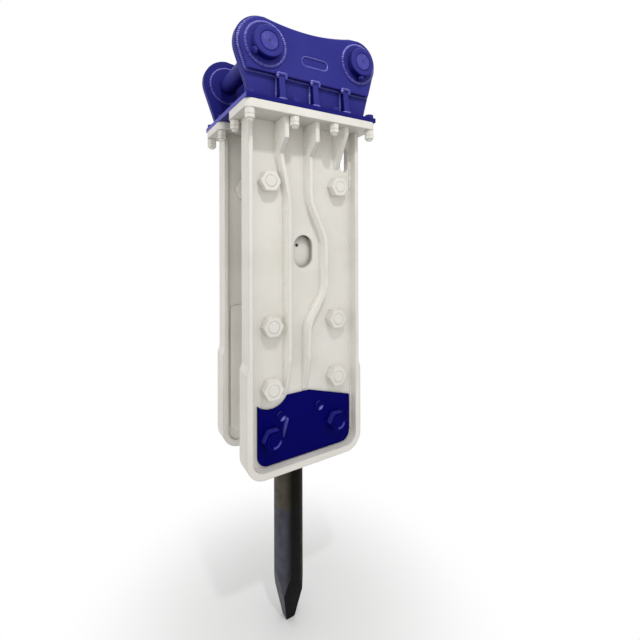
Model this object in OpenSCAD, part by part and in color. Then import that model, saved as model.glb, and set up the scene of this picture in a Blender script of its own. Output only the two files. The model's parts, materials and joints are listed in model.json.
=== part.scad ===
// Hydraulic breaker hammer with a pin-on top bracket and two cast side plates.
// Origin at the centre of the stick pin. +Z up along the tool, pins along Y, front plate towards -Y.
// Heights in the sections below are measured up or down from the top face of the bracket base plate.

/* [Tool] */
// Diameter of the tool shank
tool_d = 140; // [136:1:146]
// Depth of the tool tip below the base plate
tip_depth = 2410; // [2350:5:2490]
// Depth of the tool's struck end when the tool hangs at its lowest
tool_top_depth = 1110; // [1100:1:1116]
// Length of the four-sided point
point_l = 245; // [200:1:280]
// Width of the blunt end of the point
point_w = 44; // [36:1:56]
// Travel of the tool between its retainer pins and the struck end
tool_travel = 60; // [40:1:66]
// Depth of the flats that the retainer pins lie in
flat_cut = 18; // [14:1:20]
// Chamfer on the struck end
tool_chamfer = 8; // [4:1:12]
// Sliding gap between tool and bushes
tool_gap = 0.3; // [0.2:0.05:0.5]

/* [Mounting pins] */
// Radius of the stick pin and the link pin
pin_r = 40; // [36:0.5:42]
// Distance from the tool axis to the stick pin
stick_x = 232; // [224:1:240]
// Distance from the tool axis to the link pin
link_x = 229; // [222:1:236]
// Height of the stick pin
stick_z = 208; // [202:1:216]
// Height of the link pin
link_z = 237; // [232:1:244]
// Running clearance of a pin in its bores
pin_fit = 0.05; // [0.02:0.01:0.1]
// Width of the seal groove at each end of the pin's bearing length
pin_groove_w = 4; // [3:0.5:6]
// Depth of that groove
pin_groove_d = 1.5; // [1:0.1:2]
// Chamfer on the pin ends
pin_chamfer = 3; // [2:0.5:5]
// Radius of the lock bolt in each front collar
lock_r = 9; // [8:0.5:11]
// Width across flats of the lock bolt head
lock_af = 24; // [20:1:26]
// Height of the lock bolt head
lock_head = 14; // [10:1:18]
// How far the stick pin's lock bolt leans below level
lock_lean = 38; // [20:1:50]
// Gap between lock bolt tip and pin
lock_gap = 0.3; // [0.2:0.05:0.5]

/* [Bracket] */
// Length of the base plate along X
base_l = 644; // [636:2:660]
// Width of the base plate along Y
base_w = 578; // [570:2:590]
// Thickness of the base plate
base_t = 22; // [18:1:28]
// Clear width between the two ears
ear_gap = 426; // [420:2:432]
// Thickness of an ear plate
ear_t = 32; // [28:1:34]
// Thickness of the doubler on an ear
doubler_t = 26; // [20:1:30]
// How far the doubler stands in from the ear's edge
doubler_inset = 14; // [8:1:18]
// Height of the doubler's lower edge
ledge_z = 102; // [94:1:110]
// Radius of the lobe round the stick pin
stick_lobe_r = 122; // [116:1:128]
// Height of that lobe's centre above the pin
stick_lobe_up = 5; // [0:1:8]
// Radius of the lobe round the link pin
link_lobe_r = 114; // [108:1:118]
// Height of that lobe's centre above the pin
link_lobe_up = 12; // [6:1:14]
// Distance from the tool axis to the ear's lower corner, stick side
ear_foot_stick = 286; // [276:1:296]
// Distance from the tool axis to the ear's lower corner, link side
ear_foot_link = 278; // [270:1:286]
// Radius of the hollow along the top of an ear
saddle_r = 1000; // [900:10:1200]
// Height of the lowest point of that hollow
saddle_z = 322; // [316:1:328]
// Distance of that lowest point from the tool axis, stick side
saddle_x = 78; // [60:1:96]
// Length of the weld window in the doubler
window_l = 130; // [110:1:150]
// Height of the weld window
window_h = 42; // [34:1:50]
// Height of the window's centre
window_z = 188; // [180:1:196]
// Radius of the ring round a pin on the doubler
ring_r = 86; // [82:1:90]
// Thickness of that ring outside the ear
ring_t = 6; // [4:1:8]
// Thickness of the ring on the inner face of an ear
inner_ring_t = 10; // [6:1:14]
// Radius of the collar round a pin
collar_r = 63; // [59:1:67]
// Length of the collar beyond its ring
collar_l = 34; // [29:1:39]
// Chamfer on the collar
collar_chamfer = 4; // [2:1:6]
// Distance between the three gussets under an ear's ledge
gusset_step = 160; // [150:1:170]
// Thickness of a gusset
gusset_t = 28; // [22:1:34]
// How far the gusset's foot stops short of the base plate's edge
gusset_margin = 5; // [2:1:10]

/* [Side plates] */
// Width of a side plate above its step
plate_w = 558; // [552:1:566]
// Width of a side plate below its step
foot_w = 578; // [572:1:584]
// Distance from the third row of bolts up to the step
step_above = 120; // [110:1:130]
// How much lower the step stands on the right side
step_drop = 60; // [50:1:70]
// Height of the step's slope
step_h = 32; // [24:1:40]
// Distance from the fourth row of bolts down to the bottom of the side plates
foot_below = 150; // [140:1:162]
// Outer radius of the bottom corners
foot_r = 82; // [70:1:94]
// Width of the pocket inside the rim
pocket_w = 522; // [516:1:530]
// Height of the rim under the pocket
rim_bottom = 29; // [22:1:34]
// Radius of the pocket's bottom corners
pocket_r = 52; // [44:1:60]
// Distance between the inner faces of the two webs
web_gap = 258; // [252:2:264]
// Thickness of a web
web_t = 30; // [26:1:34]
// How far the rim stands out from the web
rim_out = 45; // [40:1:50]
// How far the rim stands in from the web
rim_in = 13; // [8:1:16]
// Thickness of the flange under the base plate
flange_t = 35; // [30:1:40]
// Gap between the two flanges
flange_gap = 116; // [100:2:130]
// Corner radius of a flange
flange_r = 30; // [24:1:32]
// Thickness of a rib
rib_t = 19; // [16:1:22]
// How far the upper end of a rib stands out from the rim
rib_peak = 56; // [46:1:66]
// Depth at which a rib's upper end starts to fall back
rib_peak_depth = 146; // [136:1:156]
// Depth at which it meets the rim's level
rib_level_depth = 200; // [190:1:212]
// Length over which a rib runs out at its lower end
rib_run = 157; // [146:1:168]
// Gap between a rib's lower end and the wear plate
rib_wear_gap = 4; // [2:1:8]
// Depth at which the short rib has run out
short_rib_depth = 236; // [226:1:250]
// Distance from the tool axis to the straight rib at the flange
rib_one_top_x = 131; // [124:1:138]
// Distance from the tool axis to the straight rib below its bend
rib_one_x = 90; // [84:1:96]
// Depth at which the straight rib starts to lean inwards
rib_one_lean = 200; // [190:1:212]
// Depth at which it runs straight down again
rib_one_bend = 388; // [376:1:400]
// Distance from the tool axis to the bent rib at the flange
rib_two_top_x = 18; // [10:1:26]
// Distance from the tool axis to the bent rib beside the access window
rib_two_out_x = 98; // [92:1:104]
// Distance from the tool axis to the bent rib at its lower end
rib_two_low_x = 7; // [2:1:14]
// Depth at which the bent rib turns outwards
rib_two_out_start = 400; // [390:1:410]
// Depth at which it runs straight again
rib_two_out_end = 570; // [560:1:580]
// Depth at which it turns back
rib_two_back_start = 808; // [798:1:818]
// Depth at which it runs straight to its lower end
rib_two_back_end = 957; // [947:1:967]
// Length of a rib's path that each side of a bend takes up
bend_l = 42; // [24:1:54]
// Distance from the tool axis to the short rib at the flange
short_rib_x = 174; // [166:1:182]
// How far the short rib leans outwards
short_rib_lean = 10; // [4:1:16]
// Width of the access window in a web
access_w = 98; // [88:1:108]
// Height of the access window
access_h = 150; // [138:1:162]
// Depth of its centre
access_depth = 628; // [618:1:638]
// Width of the drain slot
drain_w = 44; // [36:1:46]
// Height of the drain slot
drain_h = 120; // [100:1:140]
// Distance from the tool axis to the drain slot
drain_x = 227; // [223:1:230]
// Depth of the drain slot's centre
drain_depth = 184; // [178:1:190]
// Gap between the power cell and a guide pad
pad_gap = 4; // [2:0.5:6]
// Distance from the tool axis to a guide pad's outer edge
pad_out = 249; // [240:1:256]
// Depth of the top of the guide pads
pad_top_depth = 892; // [884:1:900]
// Distance from the fourth row of bolts down to the bottom of the guide pads
pad_below = 74; // [66:1:82]
// Corner cut of the guide pads
pad_cut = 26; // [18:1:32]

/* [Wear plates] */
// Thickness of a wear plate
wear_t = 10; // [8:1:14]
// Gap beside a wear plate inside the pocket
wear_gap = 23; // [18:1:28]
// How far a wear plate sits off the middle of the pocket
wear_shift = 10; // [4:1:14]
// Gap under a wear plate
wear_foot_gap = 5; // [3:1:10]
// Distance from the fourth row of bolts up to the middle of its upper edge
wear_above = 168; // [162:1:174]
// The same distance at its low side
wear_low_above = 103; // [96:1:112]
// The same distance at its cut-out side
wear_high_above = 145; // [138:1:152]
// Distance from the tool axis to the bend in its upper edge
wear_bend_x = 26; // [12:1:40]
// Radius of the cut-out round the bolt above
wear_cut_r = 90; // [84:1:96]

/* [Side bolts] */
// Radius of a side bolt
bolt_r = 25; // [22:0.5:26]
// Clearance round a side bolt in the plates
bolt_gap = 0.9; // [0.5:0.1:1.5]
// Gap between a bolt and its nut
thread_gap = 0.3; // [0.2:0.05:0.5]
// Width across flats of a side nut
nut_af = 82; // [76:1:86]
// Room left in the back head round an inner nut
nut_room = 2; // [1:0.5:4]
// Height of a side nut
nut_h = 42; // [36:1:44]
// Height of a nut on a wear plate
wear_nut_h = 33; // [28:1:34]
// Width across flats of a nut between the side plates
inner_nut_af = 92; // [84:1:94]
// Chamfer of all the nuts
nut_chamfer = 5; // [3:0.5:6]
// Length of bolt beyond the plate
bolt_out = 45; // [42:1:50]
// Distance from the tool axis to the upper row of bolts
row_one_x = 177; // [172:1:182]
// Distance from the tool axis to the other rows
row_x = 165; // [163:0.5:168]
// Depth of the first row
row_one_depth = 324; // [316:1:332]
// Depth of the second row
row_two_depth = 948; // [940:1:956]
// Distance from the third row to the fourth row
row_pitch = 212; // [204:1:220]
// Depth of the fourth row
row_four_depth = 1430; // [1422:1:1440]

/* [Flange bolts] */
// Radius of a flange bolt
flange_bolt_r = 14; // [12:0.5:16]
// Distance from the ends of the base plate to the end bolts
flange_bolt_end = 24; // [18:1:32]
// Distance from the sides of the base plate to the outer row of bolts
flange_bolt_side = 22; // [21:0.5:23]
// Distance from the tool axis to the end bolts nearer the middle
flange_bolt_in = 90; // [84:1:100]
// Width across flats of flange bolt heads and nuts
flange_nut_af = 38; // [34:1:40]
// Height of a flange bolt head
flange_head_h = 15; // [12:1:18]
// Height of a flange nut
flange_nut_h = 25; // [20:1:28]
// Height of its lock nut
flange_lock_h = 16; // [12:1:20]
// Bolt end below the lock nut
flange_tail = 8; // [5:1:12]
// Chamfer on flange nuts
flange_nut_chamfer = 2.5; // [1.5:0.5:3.5]

/* [Power cell] */
// Width of the power cell along X
cell_w = 300; // [294:1:304]
// Depth of the top of the back head
head_top_depth = 112; // [106:1:118]
// Depth of the joint between back head and cylinder
cylinder_top_depth = 430; // [420:1:440]
// Depth of the joint between cylinder and front head
cylinder_bottom_depth = 900; // [890:1:904]
// Distance from the fourth row of bolts down to the bottom of the front head
front_below = 100; // [90:1:110]
// Edge chamfer of the cell's blocks
cell_chamfer = 12; // [6:1:18]
// Radius of the gas chamber
gas_r = 78; // [74:1:84]
// Depth of the top of the gas chamber
gas_top_depth = 176; // [168:1:182]
// Radius of a tie rod
tie_r = 18; // [16:0.5:20]
// Distance from the tool axis to a tie rod along X
tie_x = 100; // [96:1:104]
// Distance from the tool axis to a tie rod along Y
tie_y = 96; // [94:1:100]
// Depth of the lower end of the tie rods
tie_end_depth = 1090; // [1070:1:1110]
// Width across flats of a tie rod nut
tie_nut_af = 55; // [50:1:58]
// Height of a tie rod nut
tie_nut_h = 34; // [28:1:36]
// Rod end above its nut
tie_tail = 8; // [5:1:10]
// Outer radius of the tool bushes
bush_r = 92; // [88:1:96]
// Seating gap round bushes and sleeves
seat_gap = 0.05; // [0.02:0.01:0.1]
// Depth of the top of the upper bush
upper_bush_top = 962; // [950:1:970]
// Distance from the retainer pins to the bushes above and below them
bush_space = 56; // [52:1:64]
// Clearance radius round the tool between the bushes
throat_gap = 4; // [2:1:8]
// Distance from the fourth row of bolts up to the retainer pins
retainer_above = 102; // [98:1:106]
// Radius of a retainer pin
retainer_r = 25; // [22:0.5:27]
// Gap between retainer pin and its bore
retainer_gap = 0.3; // [0.2:0.05:0.5]
// Thickness of the plugs that close the retainer bores
plug_t = 10; // [6:1:14]
// Height of the dust seal
dust_h = 14; // [10:1:18]
// Radial depth of the dust seal
dust_d = 8; // [6:1:10]
// Depth of the dust seal's lower face above the front head's bottom
dust_up = 16; // [12:1:24]
// Radius of the test port in the front of the cylinder
test_port_r = 7; // [5:0.5:9]
// Depth of the test port hole
test_port_l = 25; // [18:1:32]
// Distance from the tool axis to the test port
test_port_x = 18; // [8:1:28]
// Depth of the test port below the base plate
test_port_depth = 599; // [591:1:607]

/* [Piston] */
// Radius of the piston's lands
land_r = 72; // [70:0.5:73]
// Radius of the piston below its lands
striker_r = 65; // [62:0.5:66]
// Radius of the piston above its lands
stem_r = 62; // [60:0.5:63]
// Running clearance of the piston
piston_fit = 0.05; // [0.02:0.01:0.1]
// Gap left between piston and tool when the tool is fully raised
strike_gap = 2; // [1:0.5:4]
// Stroke of the piston
stroke = 130; // [110:1:136]
// Depth of the bottom of the lands at rest
land_bottom_depth = 760; // [752:1:768]
// Length of the lands
land_l = 120; // [112:1:128]
// Groove between the two lands
land_groove = 4; // [3:0.5:6]
// Length of that groove
land_groove_l = 40; // [30:1:50]
// Depth of the piston's upper end at rest
stem_top_depth = 330; // [322:1:338]
// Depth of the bottom of the main bore
bore_bottom_depth = 800; // [790:1:810]
// Length of the seal retainer
retainer_l = 60; // [52:1:64]
// Radius of the seal retainer
sleeve_r = 86; // [82:1:90]
// Radial depth of the piston seals
seal_d = 5; // [4:0.5:6]
// Height of a piston seal
seal_h = 7; // [5:0.5:8]
// Gap round a piston seal
seal_gap = 0.3; // [0.2:0.05:0.5]

/* [Valve] */
// How far the valve housing stands out from the cylinder
valve_out = 82; // [78:1:86]
// Width of the valve housing along Y
valve_w = 170; // [160:1:180]
// Depth of the top of the valve housing
valve_top_depth = 500; // [490:1:510]
// Depth of the bottom of the valve housing
valve_bottom_depth = 760; // [750:1:770]
// Distance from the cylinder's face to the valve's axis
valve_axis = 42; // [40:1:44]
// Radius of the valve sleeve
valve_sleeve_r = 32; // [30:0.5:33]
// Radius of the spool
spool_r = 23; // [20:0.5:25]
// Length of the spool
spool_l = 150; // [140:1:160]
// Travel of the spool
spool_travel = 18; // [12:1:22]
// Running clearance of the spool
spool_fit = 0.05; // [0.02:0.01:0.1]
// Solid floor under the valve sleeve
valve_floor = 24; // [18:1:30]
// Step in the floor that the spool rests above
spool_seat = 8; // [5:1:12]
// Thickness of the valve cap
valve_cap_t = 18; // [14:1:22]
// Width across flats of the valve cap
valve_cap_af = 68; // [66:0.5:70]
// Length of the cap's plug inside the housing
valve_cap_plug = 26; // [18:1:32]
// Radius of a valve bolt
valve_bolt_r = 8; // [6:0.5:9]
// Distance of the valve bolts from the housing's edges
valve_bolt_in = 20; // [18:1:24]
// Length of a valve bolt in the cylinder
valve_bolt_l = 40; // [30:1:50]
// Width across flats of the valve bolt heads
valve_bolt_af = 24; // [20:1:26]
// Height of the valve bolt heads
valve_bolt_head = 10; // [8:1:12]

/* [Ports and service points] */
// Radius of the thread in a hose port
port_r = 15.4; // [14:0.1:17]
// Length of the thread in a hose port
port_l = 40; // [34:1:46]
// Radius of the oil passage behind a hose port
passage_r = 11; // [9:0.5:12]
// Outer radius of a port adapter
adapter_r = 27; // [25:0.5:30]
// Length of a port adapter outside the cylinder
adapter_l = 54; // [48:1:60]
// Width across flats of the adapter's hexagon
adapter_af = 62; // [58:1:66]
// Height of that hexagon
adapter_hex = 18; // [14:1:22]
// Radius of the adapter's spigot
spigot_r = 21; // [19:0.5:23]
// Length of the adapter's spigot in the cylinder
spigot_l = 24; // [18:1:30]
// Depth of the inlet port
inlet_depth = 540; // [532:1:548]
// Depth of the outlet port
outlet_depth = 680; // [672:1:688]
// Radius of the gas valve body
gas_valve_r = 14; // [12:0.5:16]
// Length of the gas valve body
gas_valve_l = 30; // [24:1:36]
// Depth of the gas valve
gas_valve_depth = 232; // [226:1:238]
// Radius of the gas valve's cap
gas_cap_r = 18; // [16:0.5:20]
// Length of the gas valve's cap
gas_cap_l = 16; // [12:1:20]
// Radius of the grease nipple's base
nipple_r = 8; // [6:0.5:10]
// Length of the grease nipple
nipple_l = 22; // [18:1:26]
// Height of the grease nipple above the bottom of the front head
nipple_up = 30; // [26:1:36]
// Radius of the nipple's ball end
nipple_ball_r = 5; // [4:0.5:6]

/* [Hidden] */
$fn = 72;

paint_blue = [0.20, 0.19, 0.55];
panel_blue = [0.06, 0.05, 0.38];
paint_white = [0.85, 0.84, 0.81];
bare_steel = [0.62, 0.62, 0.63];
tool_black = [0.09, 0.08, 0.07];
seal_black = [0.05, 0.05, 0.05];
brass_gold = [0.72, 0.56, 0.27];

// Overlap used when a cut has to pass clean through a face
cut = 1;
// Angle between the points of a rounded outline
arc_step = 5;
// Number of short lines that make up the bend of a rib
bend_steps = 6;
tool_r = tool_d / 2;
flange_top = -base_t;
flange_bottom = flange_top - flange_t;
flange_bolt_x = base_l / 2 - flange_bolt_end;
flange_bolt_y = base_w / 2 - flange_bolt_side;
ear_in = ear_gap / 2;
ear_out = ear_in + ear_t;
doubler_out = ear_out + doubler_t;
ring_out = doubler_out + ring_t;
pin_end = ring_out + collar_l;
bearing_half = ear_in - inner_ring_t;
web_in = web_gap / 2;
web_out = web_in + web_t;
rim_front = web_out + rim_out;
rim_back = web_in - rim_in;
wear_front = web_out + wear_t;
cell_half = cell_w / 2;
row_three_depth = row_four_depth - row_pitch;
step_depth = row_three_depth - step_above;
foot_depth = row_four_depth + foot_below;
pocket_depth = foot_depth - rim_bottom;
pad_in = cell_half + pad_gap;
pad_bottom_depth = row_four_depth + pad_below;
wear_top_depth = row_four_depth - wear_above;
wear_low_depth = row_four_depth - wear_low_above;
wear_high_depth = row_four_depth - wear_high_above;
rib_end_depth = wear_top_depth - rib_wear_gap;
rib_out_depth = rib_end_depth - rib_run;
front_bottom_depth = row_four_depth + front_below;
retainer_depth = row_four_depth - retainer_above;
upper_bush_bottom = retainer_depth - bush_space;
lower_bush_top = retainer_depth + bush_space;
nipple_depth = front_bottom_depth - nipple_up;
tool_top = -tool_top_depth;
strike_z = tool_top + tool_travel + strike_gap;
retainer_y = tool_r - flat_cut + retainer_r;
outer_rows = [row_one_depth, row_two_depth, row_three_depth];
lower_rows = [row_two_depth, row_three_depth, row_four_depth];
valve_x = cell_half + valve_axis;
valve_floor_z = -valve_bottom_depth + valve_floor;

function row_half(depth) = depth == row_one_depth ? row_one_x : row_x;
function hex_r(af) = af / 2 / cos(30);

// Direction of the line from point p that touches the circle about c, on the side given by turn
function tangent_lean(p, c, r, turn) = atan2(c[1] - p[1], c[0] - p[0]) + turn * asin(r / norm(c - p));

// Points along an arc about c, from one angle to another
function arc_points(c, r, from, to) =
    let (steps = ceil(abs(to - from) / arc_step))
    [for (i = [0:steps]) c + r * [cos(from + (to - from) * i / steps), sin(from + (to - from) * i / steps)]];

// Point on the curve that rounds the bend at p, between the neighbouring points before and after it
function bend_point(before, p, after, t) =
    let (from = p + bend_l * (before - p) / norm(before - p), to = p + bend_l * (after - p) / norm(after - p))
    (1 - t) * (1 - t) * from + 2 * t * (1 - t) * p + t * t * to;

// A path with its bends rounded
function rounded_path(path) = concat(
    [path[0]],
    [for (i = [1:len(path) - 2], k = [0:bend_steps])
        bend_point(path[i - 1], path[i], path[i + 1], k / bend_steps)],
    [path[len(path) - 1]]
);

// Right, bottom and left edge of a plate with rounded lower corners
function foot_points(half, bottom, r) = concat(
    arc_points([half - r, bottom + r], r, 0, -90), arc_points([r - half, bottom + r], r, -90, -180)
);

// Moves the part from the tool axis to the stick pin
module placed() {
    translate([stick_x, 0, -stick_z]) children();
}

// Outline in X and Z, made solid between two distances in front of the tool axis
module slab(near, far) {
    translate([0, -near, 0]) rotate([90, 0, 0]) linear_extrude(far - near) children();
}

module to_rear() {
    mirror([0, 1, 0]) children();
}

module hex_solid(af, h, chamfer) {
    intersection() {
        cylinder(r = hex_r(af), h = h, $fn = 6);
        rotate_extrude() polygon([
            [0, 0], [hex_r(af) - chamfer, 0], [hex_r(af), chamfer * tan(30)],
            [hex_r(af), h - chamfer * tan(30)], [hex_r(af) - chamfer, h], [0, h]
        ]);
    }
}

module hex_nut(af, h, bore, chamfer) {
    difference() {
        hex_solid(af, h, chamfer);
        translate([0, 0, -cut]) cylinder(r = bore, h = h + 2 * cut);
    }
}

module ring(outer, inner, h) {
    difference() {
        cylinder(r = outer, h = h);
        translate([0, 0, -cut]) cylinder(r = inner, h = h + 2 * cut);
    }
}

// Places children at both mounting pins, with local Z pointing to the front
module at_pins() {
    for (p = [[-stick_x, stick_z], [link_x, link_z]]) {
        translate([p[0], 0, p[1]]) rotate([90, 0, 0]) children();
    }
}

module pin_holes_2d() {
    translate([-stick_x, stick_z]) circle(r = pin_r + pin_fit);
    translate([link_x, link_z]) circle(r = pin_r + pin_fit);
}

module ear_2d(inset) {
    stick = [-stick_x, stick_z + stick_lobe_up];
    link = [link_x, link_z + link_lobe_up];
    stick_r = stick_lobe_r - inset;
    link_r = link_lobe_r - inset;
    foot_stick = [-ear_foot_stick + inset, 0];
    foot_link = [ear_foot_link - inset, 0];
    difference() {
        polygon(concat(
            [foot_stick], arc_points(stick, stick_r, tangent_lean(foot_stick, stick, stick_r, 1) + 90, 90),
            arc_points(link, link_r, 90, tangent_lean(foot_link, link, link_r, -1) - 90), [foot_link]
        ));
        translate([-saddle_x, saddle_z - inset + saddle_r]) circle(r = saddle_r, $fn = 180);
        pin_holes_2d();
    }
}

module bracket_base_plate() color(paint_blue) placed() {
    difference() {
        translate([-base_l / 2, -base_w / 2, -base_t]) cube([base_l, base_w, base_t]);
        at_flange_bolts() translate([0, 0, -base_t - cut])
            cylinder(r = flange_bolt_r + bolt_gap, h = base_t + 2 * cut);
    }
}

module ear() {
    slab(ear_in, ear_out) ear_2d(0);
}

module ear_doubler() {
    slab(ear_out, doubler_out) difference() {
        ear_2d(doubler_inset);
        translate([-base_l, ledge_z - base_l]) square([2 * base_l, base_l]);
        translate([0, window_z]) window_2d();
    }
}

module window_2d() {
    straight = window_l - window_h;
    square([straight, window_h], center = true);
    for (side = [-1, 1]) translate([side * straight / 2, 0]) circle(d = window_h);
}

module front_ear() color(paint_blue) placed() ear();

module rear_ear() color(paint_blue) placed() to_rear() ear();

module front_ear_doubler() color(paint_blue) placed() ear_doubler();

module rear_ear_doubler() color(paint_blue) placed() to_rear() ear_doubler();

module pin_collar() {
    tall = ring_t + collar_l;
    translate([0, 0, doubler_out]) rotate_extrude() polygon([
        [pin_r + pin_fit, 0], [ring_r, 0], [ring_r, ring_t], [collar_r, ring_t],
        [collar_r, tall - collar_chamfer], [collar_r - collar_chamfer, tall], [pin_r + pin_fit, tall]
    ]);
}

// The lock bolt enters the stick collar from the outer side, leaning, and the link collar from below
module at_front_locks() {
    middle = ring_out + collar_l / 2;
    translate([-stick_x, -middle, stick_z]) rotate([0, -90 - lock_lean, 0]) children();
    translate([link_x, -middle, link_z]) rotate([180, 0, 0]) children();
}

module front_pin_collars() color(paint_blue) placed() {
    difference() {
        at_pins() pin_collar();
        at_front_locks() cylinder(r = lock_r + thread_gap, h = ring_r);
    }
}

module rear_pin_collars() color(paint_blue) placed() to_rear() at_pins() pin_collar();

module inner_pin_rings() color(paint_blue) placed() {
    at_pins() translate([0, 0, bearing_half]) ring(ring_r, pin_r + pin_fit, inner_ring_t);
    to_rear() at_pins() translate([0, 0, bearing_half]) ring(ring_r, pin_r + pin_fit, inner_ring_t);
}

module gusset() {
    foot = base_w / 2 - gusset_margin;
    rotate([90, 0, -90]) translate([0, 0, -gusset_t / 2]) linear_extrude(gusset_t) polygon([
        [ear_out, 0], [foot, 0], [doubler_out, ledge_z], [ear_out, ledge_z]
    ]);
}

module ear_gussets() color(paint_blue) placed() {
    for (i = [-1, 0, 1]) {
        translate([i * gusset_step, 0, 0]) gusset();
        to_rear() translate([i * gusset_step, 0, 0]) gusset();
    }
}

module mounting_pin() {
    root_r = pin_r - pin_groove_d;
    rotate([90, 0, 0]) rotate_extrude() polygon([
        [0, -pin_end], [pin_r - pin_chamfer, -pin_end], [pin_r, -pin_end + pin_chamfer],
        [pin_r, -bearing_half], [root_r, -bearing_half], [root_r, -bearing_half + pin_groove_w],
        [pin_r, -bearing_half + pin_groove_w], [pin_r, bearing_half - pin_groove_w],
        [root_r, bearing_half - pin_groove_w], [root_r, bearing_half], [pin_r, bearing_half],
        [pin_r, pin_end - pin_chamfer], [pin_r - pin_chamfer, pin_end], [0, pin_end]
    ]);
}

module stick_pin() color(paint_blue) placed() translate([-stick_x, 0, stick_z]) mounting_pin();

module link_pin() color(paint_blue) placed() translate([link_x, 0, link_z]) mounting_pin();

module pin_lock_bolts() color(paint_blue) placed() {
    at_front_locks() {
        translate([0, 0, pin_r + lock_gap]) cylinder(r = lock_r, h = collar_r - pin_r);
        translate([0, 0, collar_r]) hex_solid(lock_af, lock_head, pin_chamfer);
    }
}

// Four bolts along the outer edge of each flange and one more at each end
module at_flange_bolts() {
    outer_step = 2 * flange_bolt_x / 3;
    for (side = [-1, 1]) {
        for (i = [0:3]) translate([-flange_bolt_x + i * outer_step, side * flange_bolt_y, 0]) children();
        for (end = [-1, 1]) translate([end * flange_bolt_x, side * flange_bolt_in, 0]) children();
    }
}

module flange_bolts() color(paint_blue) placed() at_flange_bolts() {
    shank = base_t + flange_t + flange_nut_h + flange_lock_h + flange_tail;
    translate([0, 0, -shank]) cylinder(r = flange_bolt_r, h = shank);
    hex_solid(flange_nut_af, flange_head_h, flange_nut_chamfer);
}

module flange_nuts() color(paint_white) placed() at_flange_bolts() {
    translate([0, 0, flange_bottom - flange_nut_h])
        hex_nut(flange_nut_af, flange_nut_h, flange_bolt_r + thread_gap, flange_nut_chamfer);
}

module flange_lock_nuts() color(paint_white) placed() at_flange_bolts() {
    translate([0, 0, flange_bottom - flange_nut_h - flange_lock_h])
        hex_nut(flange_nut_af, flange_lock_h, flange_bolt_r + thread_gap, flange_nut_chamfer);
}

module plate_2d() {
    upper = plate_w / 2;
    lower = foot_w / 2;
    slope_end = -step_depth - step_h;
    polygon(concat(
        [[-upper, flange_bottom], [upper, flange_bottom]],
        [[upper, -step_depth - step_drop], [lower, slope_end - step_drop]],
        foot_points(lower, -foot_depth, foot_r), [[-lower, slope_end], [-upper, -step_depth]]
    ));
}

module pocket_2d() {
    half = pocket_w / 2;
    top = flange_bottom + cut;
    polygon(concat([[-half, top], [half, top]], foot_points(half, -pocket_depth, pocket_r)));
}

module flange_2d() {
    deep = (base_w - flange_gap) / 2;
    square([base_l - 2 * flange_r, deep], center = true);
    square([base_l, deep - 2 * flange_r], center = true);
    for (x = [-1, 1], y = [-1, 1]) {
        translate([x * (base_l / 2 - flange_r), y * (deep / 2 - flange_r)]) circle(r = flange_r);
    }
}

module side_bolt_holes_2d() {
    for (depth = concat([row_one_depth], lower_rows), side = [-1, 1]) {
        translate([side * row_half(depth), -depth]) circle(r = bolt_r + bolt_gap);
    }
}

module stadium_2d(w, h) {
    square([w, h - w], center = true);
    for (end = [-1, 1]) translate([0, end * (h - w) / 2]) circle(d = w);
}

// Strip of even thickness along a path that mostly runs downwards
module rib_strip_2d(path) {
    half = [rib_t / 2, 0];
    last = len(path) - 1;
    polygon(concat([for (p = path) p - half], [for (i = [last:-1:0]) path[i] + half]));
}

// Height of a rib from the web: a peak under the flange, level with the rim, then running out
module rib_profile(level_depth, out_depth, end_depth) {
    peak = rim_front + rib_peak;
    rotate([90, 0, -90]) translate([0, 0, -plate_w / 2]) linear_extrude(plate_w) polygon([
        [web_in + web_t / 2, flange_bottom], [peak, flange_bottom], [peak, -rib_peak_depth],
        [rim_front, -level_depth], [rim_front, -out_depth], [web_out, -end_depth],
        [web_in + web_t / 2, -end_depth]
    ]);
}

module long_rib(path) {
    intersection() {
        slab(web_in + web_t / 2, rim_front + rib_peak) rib_strip_2d(rounded_path(path));
        rib_profile(rib_level_depth, rib_out_depth, rib_end_depth);
    }
}

module short_rib() {
    intersection() {
        slab(web_in + web_t / 2, rim_front + rib_peak)
            rib_strip_2d([[short_rib_x, flange_bottom], [short_rib_x + short_rib_lean, -short_rib_depth]]);
        rotate([90, 0, -90]) translate([0, 0, -plate_w / 2]) linear_extrude(plate_w) polygon([
            [web_in + web_t / 2, flange_bottom], [rim_front + rib_peak, flange_bottom],
            [rim_front + rib_peak, -rib_peak_depth + rib_peak], [web_out, -short_rib_depth],
            [web_in + web_t / 2, -short_rib_depth]
        ]);
    }
}

// Bends of the two long ribs, from the flange down
straight_rib = [
    [-rib_one_top_x, flange_bottom], [-rib_one_top_x, -rib_one_lean], [-rib_one_x, -rib_one_bend],
    [-rib_one_x, -rib_end_depth]
];
bent_rib = [
    [rib_two_top_x, flange_bottom], [rib_two_top_x, -rib_two_out_start], [rib_two_out_x, -rib_two_out_end],
    [rib_two_out_x, -rib_two_back_start], [rib_two_low_x, -rib_two_back_end], [rib_two_low_x, -rib_end_depth]
];

module side_plate() {
    difference() {
        union() {
            slab(rim_back, rim_front) difference() {
                plate_2d();
                pocket_2d();
            }
            slab(web_in, web_out) plate_2d();
            translate([0, -(base_w + flange_gap) / 4, flange_bottom]) linear_extrude(flange_t) flange_2d();
            long_rib(straight_rib);
            long_rib(bent_rib);
            short_rib();
        }
        slab(web_in - cut, web_out + cut) {
            side_bolt_holes_2d();
            translate([0, -access_depth]) stadium_2d(access_w, access_h);
            translate([drain_x, -drain_depth]) stadium_2d(drain_w, drain_h);
        }
        at_flange_bolts() translate([0, 0, flange_bottom - cut])
            cylinder(r = flange_bolt_r + bolt_gap, h = flange_t + 2 * cut);
    }
}

module front_side_plate() color(paint_white) placed() side_plate();

module rear_side_plate() color(paint_white) placed() to_rear() side_plate();

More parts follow.
